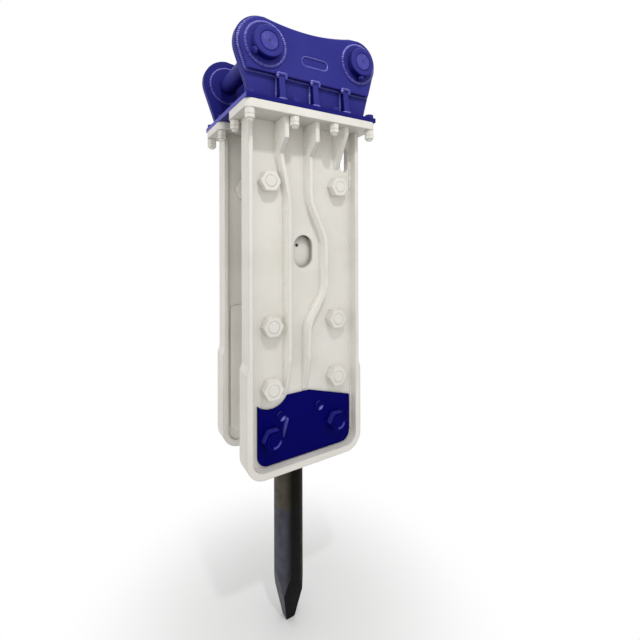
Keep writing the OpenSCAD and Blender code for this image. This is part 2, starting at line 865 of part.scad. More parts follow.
module guide_pad() {
    slab(rim_back, web_in) difference() {
        polygon([
            [pad_in, -pad_top_depth], [pad_out - pad_cut, -pad_top_depth],
            [pad_out, -pad_top_depth - pad_cut / 2], [pad_out, -pad_bottom_depth + pad_cut],
            [pad_out - pad_cut, -pad_bottom_depth], [pad_in, -pad_bottom_depth]
        ]);
        side_bolt_holes_2d();
    }
}

module guide_pads() color(paint_white) placed() {
    for (side = [0, 1]) mirror([side, 0, 0]) {
        guide_pad();
        to_rear() guide_pad();
    }
}

module wear_plate() {
    half = pocket_w / 2 - wear_gap;
    bottom = -pocket_depth + wear_foot_gap;
    bend = wear_bend_x - wear_shift;
    slab(web_out, wear_front) difference() {
        translate([wear_shift, 0]) polygon(concat(
            [[-half, -wear_high_depth], [-row_x, -wear_top_depth], [bend, -wear_top_depth]],
            [[half, -wear_low_depth]], foot_points(half, bottom, pocket_r - wear_foot_gap)
        ));
        translate([-row_x, -row_three_depth]) circle(r = wear_cut_r);
        side_bolt_holes_2d();
    }
}

module front_wear_plate() color(panel_blue) placed() wear_plate();

module rear_wear_plate() color(panel_blue) placed() to_rear() wear_plate();

// Places children on the side bolts of the listed rows, with local Z pointing to the front
module at_side_bolts(depths) {
    for (depth = depths, side = [-1, 1]) {
        translate([side * row_half(depth), 0, -depth]) rotate([90, 0, 0]) children();
    }
}

module side_bolts() color(paint_white) placed() {
    reach = web_out + bolt_out;
    at_side_bolts(concat([row_one_depth], lower_rows)) translate([0, 0, -reach]) rotate_extrude() polygon([
        [0, 0], [bolt_r - pin_chamfer, 0], [bolt_r, pin_chamfer], [bolt_r, 2 * reach - pin_chamfer],
        [bolt_r - pin_chamfer, 2 * reach], [0, 2 * reach]
    ]);
}

module side_nut_pair(seat, af, h) {
    translate([0, 0, seat]) hex_nut(af, h, bolt_r + thread_gap, nut_chamfer);
    translate([0, 0, -seat - h]) hex_nut(af, h, bolt_r + thread_gap, nut_chamfer);
}

module side_nuts() color(paint_white) placed()
    at_side_bolts(outer_rows) side_nut_pair(web_out, nut_af, nut_h);

module wear_plate_nuts() color(panel_blue) placed()
    at_side_bolts([row_four_depth]) side_nut_pair(wear_front, nut_af, wear_nut_h);

module inner_nuts() color(paint_white) placed()
    at_side_bolts([row_one_depth]) side_nut_pair(web_in - nut_h, inner_nut_af, nut_h);

// Block of the power cell, as deep as the gap between the webs, with its upright edges chamfered
module cell_block(top_depth, bottom_depth) {
    x = cell_half;
    y = web_in;
    c = cell_chamfer;
    translate([0, 0, -bottom_depth]) linear_extrude(bottom_depth - top_depth) polygon([
        [-x + c, -y], [x - c, -y], [x, -y + c], [x, y - c], [x - c, y], [-x + c, y], [-x, y - c], [-x, -y + c]
    ]);
}

module at_tie_rods() {
    for (x = [-1, 1], y = [-1, 1]) translate([x * tie_x, y * tie_y, 0]) children();
}

// Room for the side bolts of the listed rows, right through the power cell
module side_bolt_bores(depths) {
    at_side_bolts(depths) translate([0, 0, -web_in - cut])
        cylinder(r = bolt_r + bolt_gap, h = web_gap + 2 * cut);
}

module tie_rod_holes() {
    at_tie_rods() translate([0, 0, -tie_end_depth - thread_gap])
        cylinder(r = tie_r + thread_gap, h = tie_end_depth);
}

// Straight drilling along the tool axis between two depths
module bored(r, top_depth, bottom_depth) {
    translate([0, 0, -bottom_depth]) cylinder(r = r, h = bottom_depth - top_depth);
}

module back_head() color(paint_white) placed() difference() {
    cell_block(head_top_depth, cylinder_top_depth);
    bored(gas_r, gas_top_depth, cylinder_top_depth + cut);
    tie_rod_holes();
    at_side_bolts([row_one_depth]) for (seat = [web_in - nut_h - nut_room, -web_in - cut])
        translate([0, 0, seat]) cylinder(r = hex_r(inner_nut_af) + nut_room, h = nut_h + nut_room + cut);
    side_bolt_bores([row_one_depth]);
    translate([cell_half - gas_valve_l, 0, -gas_valve_depth]) rotate([0, 90, 0])
        cylinder(r = gas_valve_r + thread_gap, h = gas_valve_l + cut);
}

module cylinder_block() color(paint_white) placed() difference() {
    cell_block(cylinder_top_depth, cylinder_bottom_depth);
    bored(sleeve_r + seat_gap, cylinder_top_depth - cut, cylinder_top_depth + retainer_l);
    bored(land_r + piston_fit, cylinder_top_depth, bore_bottom_depth);
    bored(striker_r + piston_fit, bore_bottom_depth - cut, cylinder_bottom_depth + cut);
    tie_rod_holes();
    for (depth = [inlet_depth, outlet_depth]) translate([-cell_half, 0, -depth]) rotate([0, 90, 0]) {
        translate([0, 0, -cut]) cylinder(r = spigot_r + thread_gap, h = spigot_l + cut);
        cylinder(r = passage_r, h = cell_half - land_r + cut);
    }
    at_valve_bolts() translate([0, 0, -valve_bolt_l])
        cylinder(r = valve_bolt_r + thread_gap, h = valve_bolt_l + cut);
    translate([-test_port_x, -web_in + test_port_l, -test_port_depth]) rotate([90, 0, 0])
        cylinder(r = test_port_r, h = test_port_l + cut);
}

module front_head() color(paint_white) placed() difference() {
    cell_block(cylinder_bottom_depth, front_bottom_depth);
    bored(land_r, cylinder_bottom_depth - cut, upper_bush_top + cut);
    bored(bush_r + seat_gap, upper_bush_top, upper_bush_bottom);
    bored(tool_r + throat_gap, upper_bush_bottom - cut, lower_bush_top + cut);
    bored(bush_r + seat_gap, lower_bush_top, front_bottom_depth + cut);
    tie_rod_holes();
    side_bolt_bores(lower_rows);
    at_retainers() {
        translate([0, 0, -cell_half - cut]) cylinder(r = retainer_r + retainer_gap, h = cell_w + 2 * cut);
    }
    translate([-cell_half - cut, 0, -nipple_depth]) rotate([0, 90, 0])
        cylinder(r = nipple_r + thread_gap, h = nipple_l / 2 + cut);
}

module tie_rods() color(bare_steel) placed() {
    top = -head_top_depth + tie_nut_h + tie_tail;
    at_tie_rods() translate([0, 0, -tie_end_depth]) cylinder(r = tie_r, h = tie_end_depth + top);
}

module tie_rod_nuts() color(bare_steel) placed() {
    at_tie_rods() translate([0, 0, -head_top_depth])
        hex_nut(tie_nut_af, tie_nut_h, tie_r + thread_gap, nut_chamfer);
}

module upper_tool_bush() color(bare_steel) placed() {
    translate([0, 0, -upper_bush_bottom]) ring(bush_r, tool_r + tool_gap, upper_bush_bottom - upper_bush_top);
}

module lower_tool_bush() color(bare_steel) placed() difference() {
    translate([0, 0, -front_bottom_depth])
        ring(bush_r, tool_r + tool_gap, front_bottom_depth - lower_bush_top);
    translate([0, 0, -front_bottom_depth + dust_up])
        cylinder(r = tool_r + dust_d + tool_gap + seal_gap, h = dust_h + seal_gap);
}

module tool_dust_seal() color(seal_black) placed() {
    translate([0, 0, -front_bottom_depth + dust_up])
        ring(tool_r + dust_d + tool_gap, tool_r + tool_gap, dust_h);
}

// Places children on the two retainer bores, with local Z along X
module at_retainers() {
    for (side = [-1, 1]) translate([0, side * retainer_y, -retainer_depth]) rotate([0, 90, 0]) children();
}

module tool_retainer_pins() color(bare_steel) placed() {
    half = cell_half - plug_t;
    at_retainers() translate([0, 0, -half]) cylinder(r = retainer_r, h = 2 * half);
}

module retainer_plugs() color(seal_black) placed() {
    at_retainers() {
        translate([0, 0, cell_half - plug_t]) cylinder(r = retainer_r, h = plug_t);
        translate([0, 0, -cell_half]) cylinder(r = retainer_r, h = plug_t);
    }
}

// Places children at the two seals inside the retainer, which share out its length
module at_piston_seals() {
    for (i = [1, 2]) translate([0, 0, -cylinder_top_depth - i * retainer_l / 3 - seal_h / 2]) children();
}

module seal_retainer() color(bare_steel) placed() difference() {
    translate([0, 0, -cylinder_top_depth - retainer_l]) ring(sleeve_r, stem_r + piston_fit, retainer_l);
    at_piston_seals() cylinder(r = stem_r + seal_d + seal_gap, h = seal_h + seal_gap);
}

module piston_seals() color(seal_black) placed() {
    at_piston_seals() ring(stem_r + seal_d, stem_r + seal_gap, seal_h);
}

module piston() color(bare_steel) placed() {
    low = -land_bottom_depth;
    groove_low = low + (land_l - land_groove_l) / 2;
    groove_high = groove_low + land_groove_l;
    rotate_extrude() polygon([
        [0, strike_z], [striker_r - tool_chamfer, strike_z], [striker_r, strike_z + tool_chamfer],
        [striker_r, low], [land_r, low], [land_r, groove_low], [land_r - land_groove, groove_low],
        [land_r - land_groove, groove_high], [land_r, groove_high], [land_r, low + land_l],
        [stem_r, low + land_l], [stem_r, -stem_top_depth], [0, -stem_top_depth]
    ]);
}

// Four flat faces that narrow from the shank to the blunt end
module point_faces() {
    wide = tool_r + cut;
    half = point_w / 2;
    slope = (tool_r - half) / point_l;
    for (turn = [0, 90, 180, 270]) rotate([0, 0, turn]) rotate([90, 0, 0])
        translate([0, 0, -2 * wide]) linear_extrude(4 * wide) polygon([
            [half, -cut], [half + slope * (point_l + tool_r), point_l + tool_r],
            [3 * wide, point_l + tool_r], [3 * wide, -cut]
        ]);
}

module chisel() color(tool_black) placed() difference() {
    translate([0, 0, -tip_depth]) rotate_extrude() polygon([
        [0, 0], [tool_r, 0], [tool_r, tip_depth + tool_top - tool_chamfer],
        [tool_r - tool_chamfer, tip_depth + tool_top], [0, tip_depth + tool_top]
    ]);
    translate([0, 0, -tip_depth]) point_faces();
    low = -retainer_depth - retainer_r - tool_travel - 2 * retainer_gap;
    high = -retainer_depth + retainer_r + retainer_gap;
    for (side = [-1, 1]) translate([-tool_d, side * tool_r, (low + high) / 2])
        translate([0, -flat_cut - retainer_gap, (low - high) / 2])
            cube([2 * tool_d, 2 * (flat_cut + retainer_gap), high - low]);
}

module valve_housing() color(paint_white) placed() difference() {
    translate([cell_half, -valve_w / 2, -valve_bottom_depth])
        cube([valve_out, valve_w, valve_bottom_depth - valve_top_depth]);
    translate([valve_x, 0, valve_floor_z])
        cylinder(r = valve_sleeve_r + seat_gap, h = valve_bottom_depth);
    at_valve_bolts() cylinder(r = valve_bolt_r + thread_gap, h = valve_out + cut);
}

module valve_sleeve() color(bare_steel) placed() {
    top = -valve_top_depth - valve_cap_plug;
    translate([valve_x, 0, valve_floor_z]) difference() {
        cylinder(r = valve_sleeve_r, h = top - valve_floor_z);
        translate([0, 0, spool_seat]) cylinder(r = spool_r + spool_fit, h = valve_bottom_depth);
    }
}

module valve_spool() color(bare_steel) placed() {
    waist = spool_r - pin_chamfer;
    translate([valve_x, 0, valve_floor_z + spool_seat]) rotate_extrude() polygon([
        [0, 0], [spool_r, 0], [spool_r, spool_l / 3], [waist, spool_l / 3], [waist, spool_l * 2 / 3],
        [spool_r, spool_l * 2 / 3], [spool_r, spool_l], [0, spool_l]
    ]);
}

module valve_cap() color(paint_white) placed() translate([valve_x, 0, -valve_top_depth]) {
    translate([0, 0, -valve_cap_plug]) cylinder(r = valve_sleeve_r, h = valve_cap_plug);
    hex_solid(valve_cap_af, valve_cap_t, pin_chamfer);
}

// Places children at the housing's four bolts, on the cylinder's face, with local Z along X
module at_valve_bolts() {
    y = valve_w / 2 - valve_bolt_in;
    for (side = [-1, 1], depth = [valve_top_depth + valve_bolt_in, valve_bottom_depth - valve_bolt_in]) {
        translate([cell_half, side * y, -depth]) rotate([0, 90, 0]) children();
    }
}

module valve_bolts() color(bare_steel) placed() at_valve_bolts() {
    translate([0, 0, -valve_bolt_l + thread_gap]) cylinder(r = valve_bolt_r, h = valve_bolt_l + valve_out);
    translate([0, 0, valve_out]) hex_solid(valve_bolt_af, valve_bolt_head, pin_chamfer / 2);
}

// Threaded adapter on the cylinder's stick side, with its mouth facing -X
module port_adapter(depth) {
    translate([-cell_half, 0, -depth]) rotate([0, -90, 0]) difference() {
        union() {
            translate([0, 0, -spigot_l]) cylinder(r = spigot_r, h = spigot_l + cut);
            hex_solid(adapter_af, adapter_hex, pin_chamfer);
            cylinder(r = adapter_r, h = adapter_l);
        }
        translate([0, 0, adapter_l - port_l]) cylinder(r = port_r, h = port_l + cut);
        translate([0, 0, -spigot_l - cut]) cylinder(r = passage_r, h = spigot_l + adapter_l);
    }
}

module inlet_adapter() color(bare_steel) placed() port_adapter(inlet_depth);

module outlet_adapter() color(bare_steel) placed() port_adapter(outlet_depth);

module gas_valve() color(brass_gold) placed() {
    translate([cell_half - gas_valve_l, 0, -gas_valve_depth]) rotate([0, 90, 0])
        cylinder(r = gas_valve_r, h = gas_valve_l + gas_cap_l / 2);
}

module gas_valve_cap() color(brass_gold) placed() {
    translate([cell_half, 0, -gas_valve_depth]) rotate([0, 90, 0]) difference() {
        hex_solid(2 * gas_cap_r, gas_cap_l, pin_chamfer / 2);
        translate([0, 0, -cut]) cylinder(r = gas_valve_r + seat_gap, h = gas_cap_l / 2 + cut);
    }
}

module grease_nipple() color(brass_gold) placed() {
    translate([-cell_half + nipple_l / 2, 0, -nipple_depth]) rotate([0, -90, 0]) {
        cylinder(r = nipple_r, h = nipple_l / 2);
        translate([0, 0, nipple_l / 2]) cylinder(r1 = nipple_r, r2 = nipple_ball_r / 2, h = nipple_l / 3);
        translate([0, 0, nipple_l / 2 + nipple_l / 3]) sphere(r = nipple_ball_r);
    }
}

bracket_base_plate();
front_ear();
rear_ear();
front_ear_doubler();
rear_ear_doubler();
front_pin_collars();
rear_pin_collars();
inner_pin_rings();
ear_gussets();
stick_pin();
link_pin();
pin_lock_bolts();
flange_bolts();
flange_nuts();
flange_lock_nuts();
front_side_plate();
rear_side_plate();
guide_pads();
front_wear_plate();
rear_wear_plate();
side_bolts();
side_nuts();
wear_plate_nuts();
inner_nuts();
back_head();
cylinder_block();
front_head();
tie_rods();
tie_rod_nuts();
upper_tool_bush();
lower_tool_bush();
tool_retainer_pins();
retainer_plugs();
tool_dust_seal();
seal_retainer();
piston_seals();
piston();
chisel();
valve_housing();
valve_sleeve();
valve_spool();
valve_cap();
valve_bolts();
inlet_adapter();
outlet_adapter();
gas_valve();
gas_valve_cap();
grease_nipple();
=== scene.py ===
"""Looks of a hydraulic breaker hammer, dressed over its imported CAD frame. Lengths are in metres."""
import json
import math

import bmesh
import bpy
from mathutils import Matrix, Vector


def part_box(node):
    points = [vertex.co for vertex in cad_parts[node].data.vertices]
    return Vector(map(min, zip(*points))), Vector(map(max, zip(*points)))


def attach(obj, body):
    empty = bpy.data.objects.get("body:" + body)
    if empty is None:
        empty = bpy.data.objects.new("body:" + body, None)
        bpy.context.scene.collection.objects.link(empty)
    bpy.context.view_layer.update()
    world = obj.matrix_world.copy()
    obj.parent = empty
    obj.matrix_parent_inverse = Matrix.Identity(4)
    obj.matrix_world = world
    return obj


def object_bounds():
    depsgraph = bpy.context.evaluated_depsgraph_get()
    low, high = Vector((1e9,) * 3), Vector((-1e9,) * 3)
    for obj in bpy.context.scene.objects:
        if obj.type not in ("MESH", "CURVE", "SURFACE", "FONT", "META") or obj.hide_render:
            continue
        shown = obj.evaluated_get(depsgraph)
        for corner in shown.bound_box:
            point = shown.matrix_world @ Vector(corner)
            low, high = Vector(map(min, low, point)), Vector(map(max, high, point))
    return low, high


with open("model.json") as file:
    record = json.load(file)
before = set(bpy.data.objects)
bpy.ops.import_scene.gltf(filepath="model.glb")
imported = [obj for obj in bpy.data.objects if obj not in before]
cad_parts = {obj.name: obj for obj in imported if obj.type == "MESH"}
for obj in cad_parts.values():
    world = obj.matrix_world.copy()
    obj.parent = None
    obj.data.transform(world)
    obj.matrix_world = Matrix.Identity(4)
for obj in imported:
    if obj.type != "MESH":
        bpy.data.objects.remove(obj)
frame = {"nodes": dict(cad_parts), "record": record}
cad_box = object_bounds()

SIDES = (("front", -1), ("rear", 1))      # with the sign of Y on each

nodes = frame["nodes"]
base_low, base_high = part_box("bracket_base_plate")
TOOL_AXIS = (base_low.x + base_high.x) / 2
BASE_TOP = Vector((TOOL_AXIS, 0, base_high.z))    # centre of the base plate's top face


def inner_face(node):
    """Distance from the middle plane to the nearest face of a node."""
    return min(abs(corner.y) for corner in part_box(node))


def outer_face(node):
    """Distance from the middle plane to the furthest face of a node."""
    return max(abs(corner.y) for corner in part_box(node))


# Camera, set to the photograph's view

PHOTO_PIXELS = 640
FOCAL_PIXELS = 379.3      # focal length in pixels of the photograph
HORIZON_PIXEL = 240       # pixel row of the photograph that is level with the lens
SENSOR_W, SENSOR_H = 28.0, 36.0     # millimetres; the height sets the field of view
EYE = BASE_TOP + Vector((-0.8409, -1.6795, -0.5841))
YAW, PITCH, ROLL = (math.radians(angle) for angle in (31.46, 0.29, -0.16))


def make_camera():
    """Camera at the eye point, turned by yaw, pitch and roll, with the horizon on its pixel row."""
    ahead = Vector((math.sin(YAW) * math.cos(PITCH), math.cos(YAW) * math.cos(PITCH), math.sin(PITCH)))
    level = Vector((math.cos(YAW), -math.sin(YAW), 0))
    above = level.cross(ahead)
    right = level * math.cos(ROLL) + above * math.sin(ROLL)
    up = above * math.cos(ROLL) - level * math.sin(ROLL)
    data = bpy.data.cameras.new("camera")
    data.sensor_fit = "VERTICAL"
    data.sensor_width, data.sensor_height = SENSOR_W, SENSOR_H
    data.lens = SENSOR_H * FOCAL_PIXELS / PHOTO_PIXELS
    data.shift_y = (HORIZON_PIXEL - PHOTO_PIXELS / 2) / PHOTO_PIXELS
    camera = bpy.data.objects.new("camera", data)
    turn = Matrix((right, up, -ahead)).transposed().to_4x4()
    camera.matrix_world = Matrix.Translation(EYE) @ turn
    bpy.context.scene.collection.objects.link(camera)
    bpy.context.scene.camera = camera


# Materials

MIX_FIRST, MIX_SECOND, MIX_RESULT = 6, 7, 2      # sockets for colours on a Mix node
NOISE_ROUGHNESS = 0.55
PATCH_NOISE = (0.35, 0.7)      # span of the noise that goes from one tone to the other
DULL_NOISE = (0.3, 0.7)        # span of the noise that goes from shiny to dull
CORNER_SAMPLES = 6
EDGE_SAMPLES = 4


def srgb(*levels):
    """Linear colour of three 8-bit levels."""
    def linear(level):
        share = level / 255
        return share / 12.92 if share < 0.04045 else ((share + 0.055) / 1.055) ** 2.4
    return (*map(linear, levels), 1)


class Finish:
    """A material under construction: its node tree, its surface shader and object coordinates."""

    def __init__(self, name, **surface):
        self.material = bpy.data.materials.new(name)
        self.material.use_nodes = True
        self.tree = self.material.node_tree
        self.surface = self.tree.nodes["Principled BSDF"]
        for socket, value in surface.items():
            self.surface.inputs[socket.replace("_", " ")].default_value = value
        self.place = self.node("ShaderNodeTexCoord").outputs["Object"]

    def node(self, kind, options=None, **inputs):
        made = self.tree.nodes.new(kind)
        for option, value in (options or {}).items():
            setattr(made, option, value)
        for socket, value in inputs.items():
            self.feed(made.inputs[socket.replace("_", " ")], value)
        return made

    def feed(self, socket, value):
        if isinstance(value, bpy.types.NodeSocket):
            self.tree.links.new(value, socket)
        else:
            socket.default_value = value

    def noise(self, scale, detail=3):
        made = self.node("ShaderNodeTexNoise", Vector=self.place, Scale=scale, Detail=detail,
                         Roughness=NOISE_ROUGHNESS)
        return made.outputs["Fac"]

    def patches(self, scale, detail=3):
        """Soft patches of zero and one."""
        return self.remap(self.noise(scale, detail), *PATCH_NOISE, 0, 1)

    def dullness(self, scale, low, high):
        """Roughness that wanders between two values."""
        return self.remap(self.noise(scale), *DULL_NOISE, low, high)

    def remap(self, value, low, high, to_low, to_high):
        made = self.node("ShaderNodeMapRange", {"interpolation_type": "SMOOTHSTEP"}, Value=value,
                         From_Min=low, From_Max=high, To_Min=to_low, To_Max=to_high)
        return made.outputs["Result"]

    def mix(self, share, first, second):
        made = self.node("ShaderNodeMix", {"data_type": "RGBA"})
        self.feed(made.inputs["Factor"], share)
        self.feed(made.inputs[MIX_FIRST], first)
        self.feed(made.inputs[MIX_SECOND], second)
        return made.outputs[MIX_RESULT]

    def bump(self, height, depth, under=None):
        made = self.node("ShaderNodeBump", Height=height, Strength=1.0, Distance=depth)
        if under:
            self.feed(made.inputs["Normal"], under)
        return made.outputs["Normal"]

    def corners(self, reach):
        """Share of open sky over a point: low in corners and seams."""
        made = self.node("ShaderNodeAmbientOcclusion", {"samples": CORNER_SAMPLES}, Distance=reach)
        return made.outputs["AO"]

    def soft_edges(self, radius):
        """Normal that turns gently round the edges and in the corners."""
        return self.node("ShaderNodeBevel", {"samples": EDGE_SAMPLES}, Radius=radius).outputs["Normal"]

    def math(self, operation, first, second=None, third=None):
        made = self.node("ShaderNodeMath", {"operation": operation})
        for socket, value in zip(made.inputs, (first, second, third)):
            if value is not None:
                self.feed(socket, value)
        return made.outputs[0]

    def vector(self, operation, first, second=None, output="Vector"):
        made = self.node("ShaderNodeVectorMath", {"operation": operation})
        self.feed(made.inputs[0], first)
        if second is not None:
            self.feed(made.inputs[1], second)
        return made.outputs[output]

    def true_normal(self):
        return self.node("ShaderNodeNewGeometry").outputs["True Normal"]

    def part(self, vector, axis):
        """Part of a vector along one axis."""
        return self.node("ShaderNodeSeparateXYZ", Vector=vector).outputs[axis]

    def along(self, axis):
        return self.part(self.place, axis)

    def facing(self, direction, start=0.35, full=0.85):
        """One on faces that look along a direction, fading to zero on those that look past it."""
        agreement = self.vector("DOT_PRODUCT", self.true_normal(), direction, output="Value")
        return self.remap(agreement, start, full, 0, 1)

    def from_axis(self, centre):
        """Distance from an axis along Y through the centre."""
        offset = self.vector("SUBTRACT", self.place, centre)
        return self.vector("LENGTH", self.vector("MULTIPLY", offset, (1, 0, 1)), output="Value")

    def outward(self, centre, direction):
        """How much the way out from an upright axis through the centre goes along a direction."""
        offset = self.vector("SUBTRACT", self.place, centre)
        level = self.vector("NORMALIZE", self.vector("MULTIPLY", offset, (1, 1, 0)))
        return self.vector("DOT_PRODUCT", level, direction, output="Value")

    def done(self, colour, rough=None, normal=None):
        for socket, value in (("Base Color", colour), ("Roughness", rough), ("Normal", normal)):
            if value is not None:
                self.feed(self.surface.inputs[socket], value)
        return self.material


FRONT, REAR, LEFT = (0, -1, 0), (0, 1, 0), (-1, 0, 0)
UP, DOWN = (0, 0, 1), (0, 0, -1)
UP_LEFT, FRONT_LEFT = (-0.5, 0, 0.87), (-0.95, -0.32, 0)
FRONT_UP_LEFT, WELD_LIGHT = (-0.35, -0.8, 0.49), (-0.5, -0.5, 0.71)

BLUE = srgb(50, 50, 131)
BLUE_SHADE = srgb(44, 44, 125)
BLUES = (BLUE, BLUE_SHADE, srgb(7, 5, 82))             # tone, cloudy tone and painted shade in the corners
BLUE_INSIDE_SHADE = srgb(33, 33, 116)      # painted shade on the faces of the ears that look at each other
BLUE_UNDER_SHADE = srgb(12, 10, 88)        # painted shade on the undersides of the pin collars
BLUE_EDGE_HIGHLIGHT = srgb(80, 79, 170)        # painted highlight on the upper edges of the doublers
# painted shade on the base plate's front edge and painted light on its left edge
BASE_FRONT_SHADE, BASE_LEFT_LIGHT = srgb(25, 24, 108), srgb(84, 82, 176)
# weld beads: a lighter blue that stands in for their sheen, clouded with the plain blue, and painted corner shade
WELD_BLUES = (srgb(58, 56, 144), BLUE, BLUES[2])
WELD_LIT = srgb(118, 116, 198)       # painted highlights on the upper left sides of the weld beads

WHITE = srgb(226, 223, 216)
WHITE_SHADE = srgb(219, 216, 208)
# third tone of the white: painted shade in the corners
WHITES = (WHITE, WHITE_SHADE, srgb(172, 168, 160))
WHITE_UNDER_SHADE = srgb(198, 195, 188)    # painted shade on the undersides of the side plates' flanges and rib peaks
WHITE_LIT = srgb(242, 240, 233)      # painted light on the left sides of the ribs
HOLLOW_SHADE = srgb(84, 81, 73)            # painted shadow on the walls of the access window, and painted shade in the cylinder's corners

PANEL = srgb(4, 3, 94)
PANEL_SHADE = srgb(3, 2, 89)
# third tone of the panel blue: painted shade in the corners
PANELS = (PANEL, PANEL_SHADE, srgb(1, 1, 52))
NUT_LIT = srgb(46, 45, 136)          # painted light on the upper left sides of the nuts on the wear plates
# painted highlights in the dishes of the plugs and of the nut rings
PLUG_LIT, RING_LIT = srgb(120, 118, 198), srgb(76, 74, 166)
# a lighter blue in patches on the keeper bar, which stands in for its sheen
KEEPER_BLUES = (srgb(44, 42, 146), PANEL, PANELS[2])

# the tool's own dark scale and dip, and lighter tones of both painted on as light on its front left side
SCALE_DARK, DIP_DARK = srgb(20, 16, 9), srgb(15, 16, 17)
SCALE_LIT = (srgb(82, 79, 71), srgb(68, 65, 57))
DIP_LIT = (srgb(76, 76, 85), srgb(64, 64, 72))
RUBBERS = (srgb(30, 30, 31), srgb(44, 44, 45))
STEELS = (srgb(176, 176, 178), srgb(150, 149, 148))
BRASSES = (srgb(205, 170, 96), srgb(180, 144, 78))
# lighter than the blue paint, which stands in for the sheen of the turned pin faces
TURNED_SHEEN_BLUES = (srgb(62, 61, 150), srgb(52, 51, 140))

# Scales of noise are in waves per metre, and depths of bumps in metres
CLOUD_SCALE, SWELL_SCALE, PEEL_SCALE, DULL_SCALE = 5, 30, 700, 60
SWELL_DEPTH, PEEL_DEPTH, FINE_DEPTH = 0.0012, 0.00025, 0.0002
SEAM_SKY = (0.25, 0.85)            # open sky over which the painted shade in a seam fades out
ROUGH_SPREAD = (-0.05, 0.08)


def paint(name, colours, rough, soft, gloss, reach=0.03, corner_shade=0.4, faces=(), spots=()):
    """Sprayed paint: cloudy tone, painted light and shade on faces that look along given directions and on masked
    spots, painted shade in the corners, orange peel over a gently uneven skin."""
    colour, shade, corner_shade_tone = colours
    made = Finish(name, Specular_IOR_Level=gloss)
    tone = made.mix(made.patches(CLOUD_SCALE), colour, shade)
    for direction, face_tone, *limits in faces:
        tone = made.mix(made.facing(direction, *limits), tone, face_tone)
    tone = made.mix(made.remap(made.corners(reach), *SEAM_SKY, corner_shade, 0), tone, corner_shade_tone)
    for mask, spot_tone in spots:
        tone = made.mix(mask(made), tone, spot_tone)
    normal = made.bump(made.noise(SWELL_SCALE, 4), SWELL_DEPTH, made.soft_edges(soft))
    normal = made.bump(made.noise(PEEL_SCALE, 2), PEEL_DEPTH, normal)
    return made.done(tone, made.dullness(DULL_SCALE, *(rough + spread for spread in ROUGH_SPREAD)), normal)


# blue paint with wide painted shade in its corners and between the ears
def blue_paint(name, *faces, reach=0.3, corner_shade=0.95):
    return paint(name, BLUES, 0.4, 0.003, gloss=0.07, reach=reach, corner_shade=corner_shade, faces=faces)


def white_paint(name, **more):
    return paint(name, WHITES, 0.45, 0.007, gloss=0.3, corner_shade=0.1, **more)


def panel_paint(name, rough, soft, *faces):
    return paint(name, PANELS, rough, soft, gloss=0.03, faces=faces)


METAL_PATCHES, TOOL_MARKS, METAL_DULL = 14, 900, 90
METAL_ROUGH = (0.27, 0.45)


def bare_metal(name, colours):
    """Machined metal with fine tool marks and patches of dullness."""
    made = Finish(name, Metallic=1.0)
    tone = made.mix(made.patches(METAL_PATCHES), *colours)
    normal = made.bump(made.noise(TOOL_MARKS, 2), FINE_DEPTH)
    return made.done(tone, made.dullness(METAL_DULL, *METAL_ROUGH), normal)


DIP_TOP = BASE_TOP.z - 1.852     # height at which the tool's dipped lower end begins
DIP_EDGE = (-0.004, 0.008)       # span of heights over which the dip ends
DIP_RAGGED = 0.006
POINT_TILT = -0.12               # faces that look further down belong to the point
LIT_START = 0.45


def tool_black(name):
    """Forged tool: brown-black scale on the shank, blue-black paint on the dipped lower end, with painted light on
    its front left side.
    """
    made = Finish(name, Specular_IOR_Level=0.04)
    on_point = made.remap(made.part(made.true_normal(), "Z"), POINT_TILT, POINT_TILT / 2, 1, 0)
    on_shank = made.remap(made.outward(BASE_TOP, FRONT_LEFT), LIT_START, 1, 0, 1)
    lit_side = made.remap(on_point, 0, 1, on_shank, made.facing(FRONT_LEFT, LIT_START))
    ragged = made.math("MULTIPLY_ADD", made.noise(25), DIP_RAGGED, made.along("Z"))
    dipped = made.remap(ragged, *(DIP_TOP + offset for offset in DIP_EDGE), 1, 0)
    patches = made.patches(18, 5)
    scale = made.mix(lit_side, SCALE_DARK, made.mix(patches, *SCALE_LIT))
    dip = made.mix(lit_side, DIP_DARK, made.mix(patches, *DIP_LIT))
    normal = made.bump(made.noise(45, 5), 0.0012)
    normal = made.bump(made.noise(500, 2), 0.0003, normal)
    return made.done(made.mix(dipped, scale, dip), made.dullness(40, 0.34, 0.5), normal)


def rubber(name):
    made = Finish(name, Specular_IOR_Level=0.35)
    tone = made.mix(made.noise(60), *RUBBERS)
    return made.done(tone, made.dullness(150, 0.6, 0.8), made.bump(made.noise(400), FINE_DEPTH))


BOLT_CLOUDS = 20
BOLT_ROUGH = (0.38, 0.52)


def two_tone(name, colours, gloss, covered):
    """White paint of bolts whose ends were sprayed together with the coloured pieces round them."""
    made = Finish(name, Specular_IOR_Level=gloss)
    white = made.mix(made.noise(BOLT_CLOUDS), WHITE, WHITE_SHADE)
    tone = made.mix(covered(made), white, made.mix(made.noise(BOLT_CLOUDS), *colours))
    normal = made.bump(made.noise(PEEL_SCALE, 2), FINE_DEPTH, made.soft_edges(0.002))
    return made.done(tone, made.dullness(DULL_SCALE, *BOLT_ROUGH), normal)


PAINT_EDGE = 0.0005       # half of the width over which one paint goes over into another


def above_base_plate(made):
    return made.remap(made.along("Z"), base_low.z - PAINT_EDGE, base_low.z + PAINT_EDGE, 0, 1)


def over_wear_plates(made):
    """One on the bolt ends that stand out through the wear plates."""
    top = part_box("front_wear_plate")[1].z
    face = inner_face("front_wear_plate")
    low = made.remap(made.along("Z"), top - PAINT_EDGE, top + PAINT_EDGE, 1, 0)
    outside = made.remap(made.math("ABSOLUTE", made.along("Y")), face - PAINT_EDGE, face + PAINT_EDGE, 0, 1)
    return made.math("MULTIPLY", low, outside)


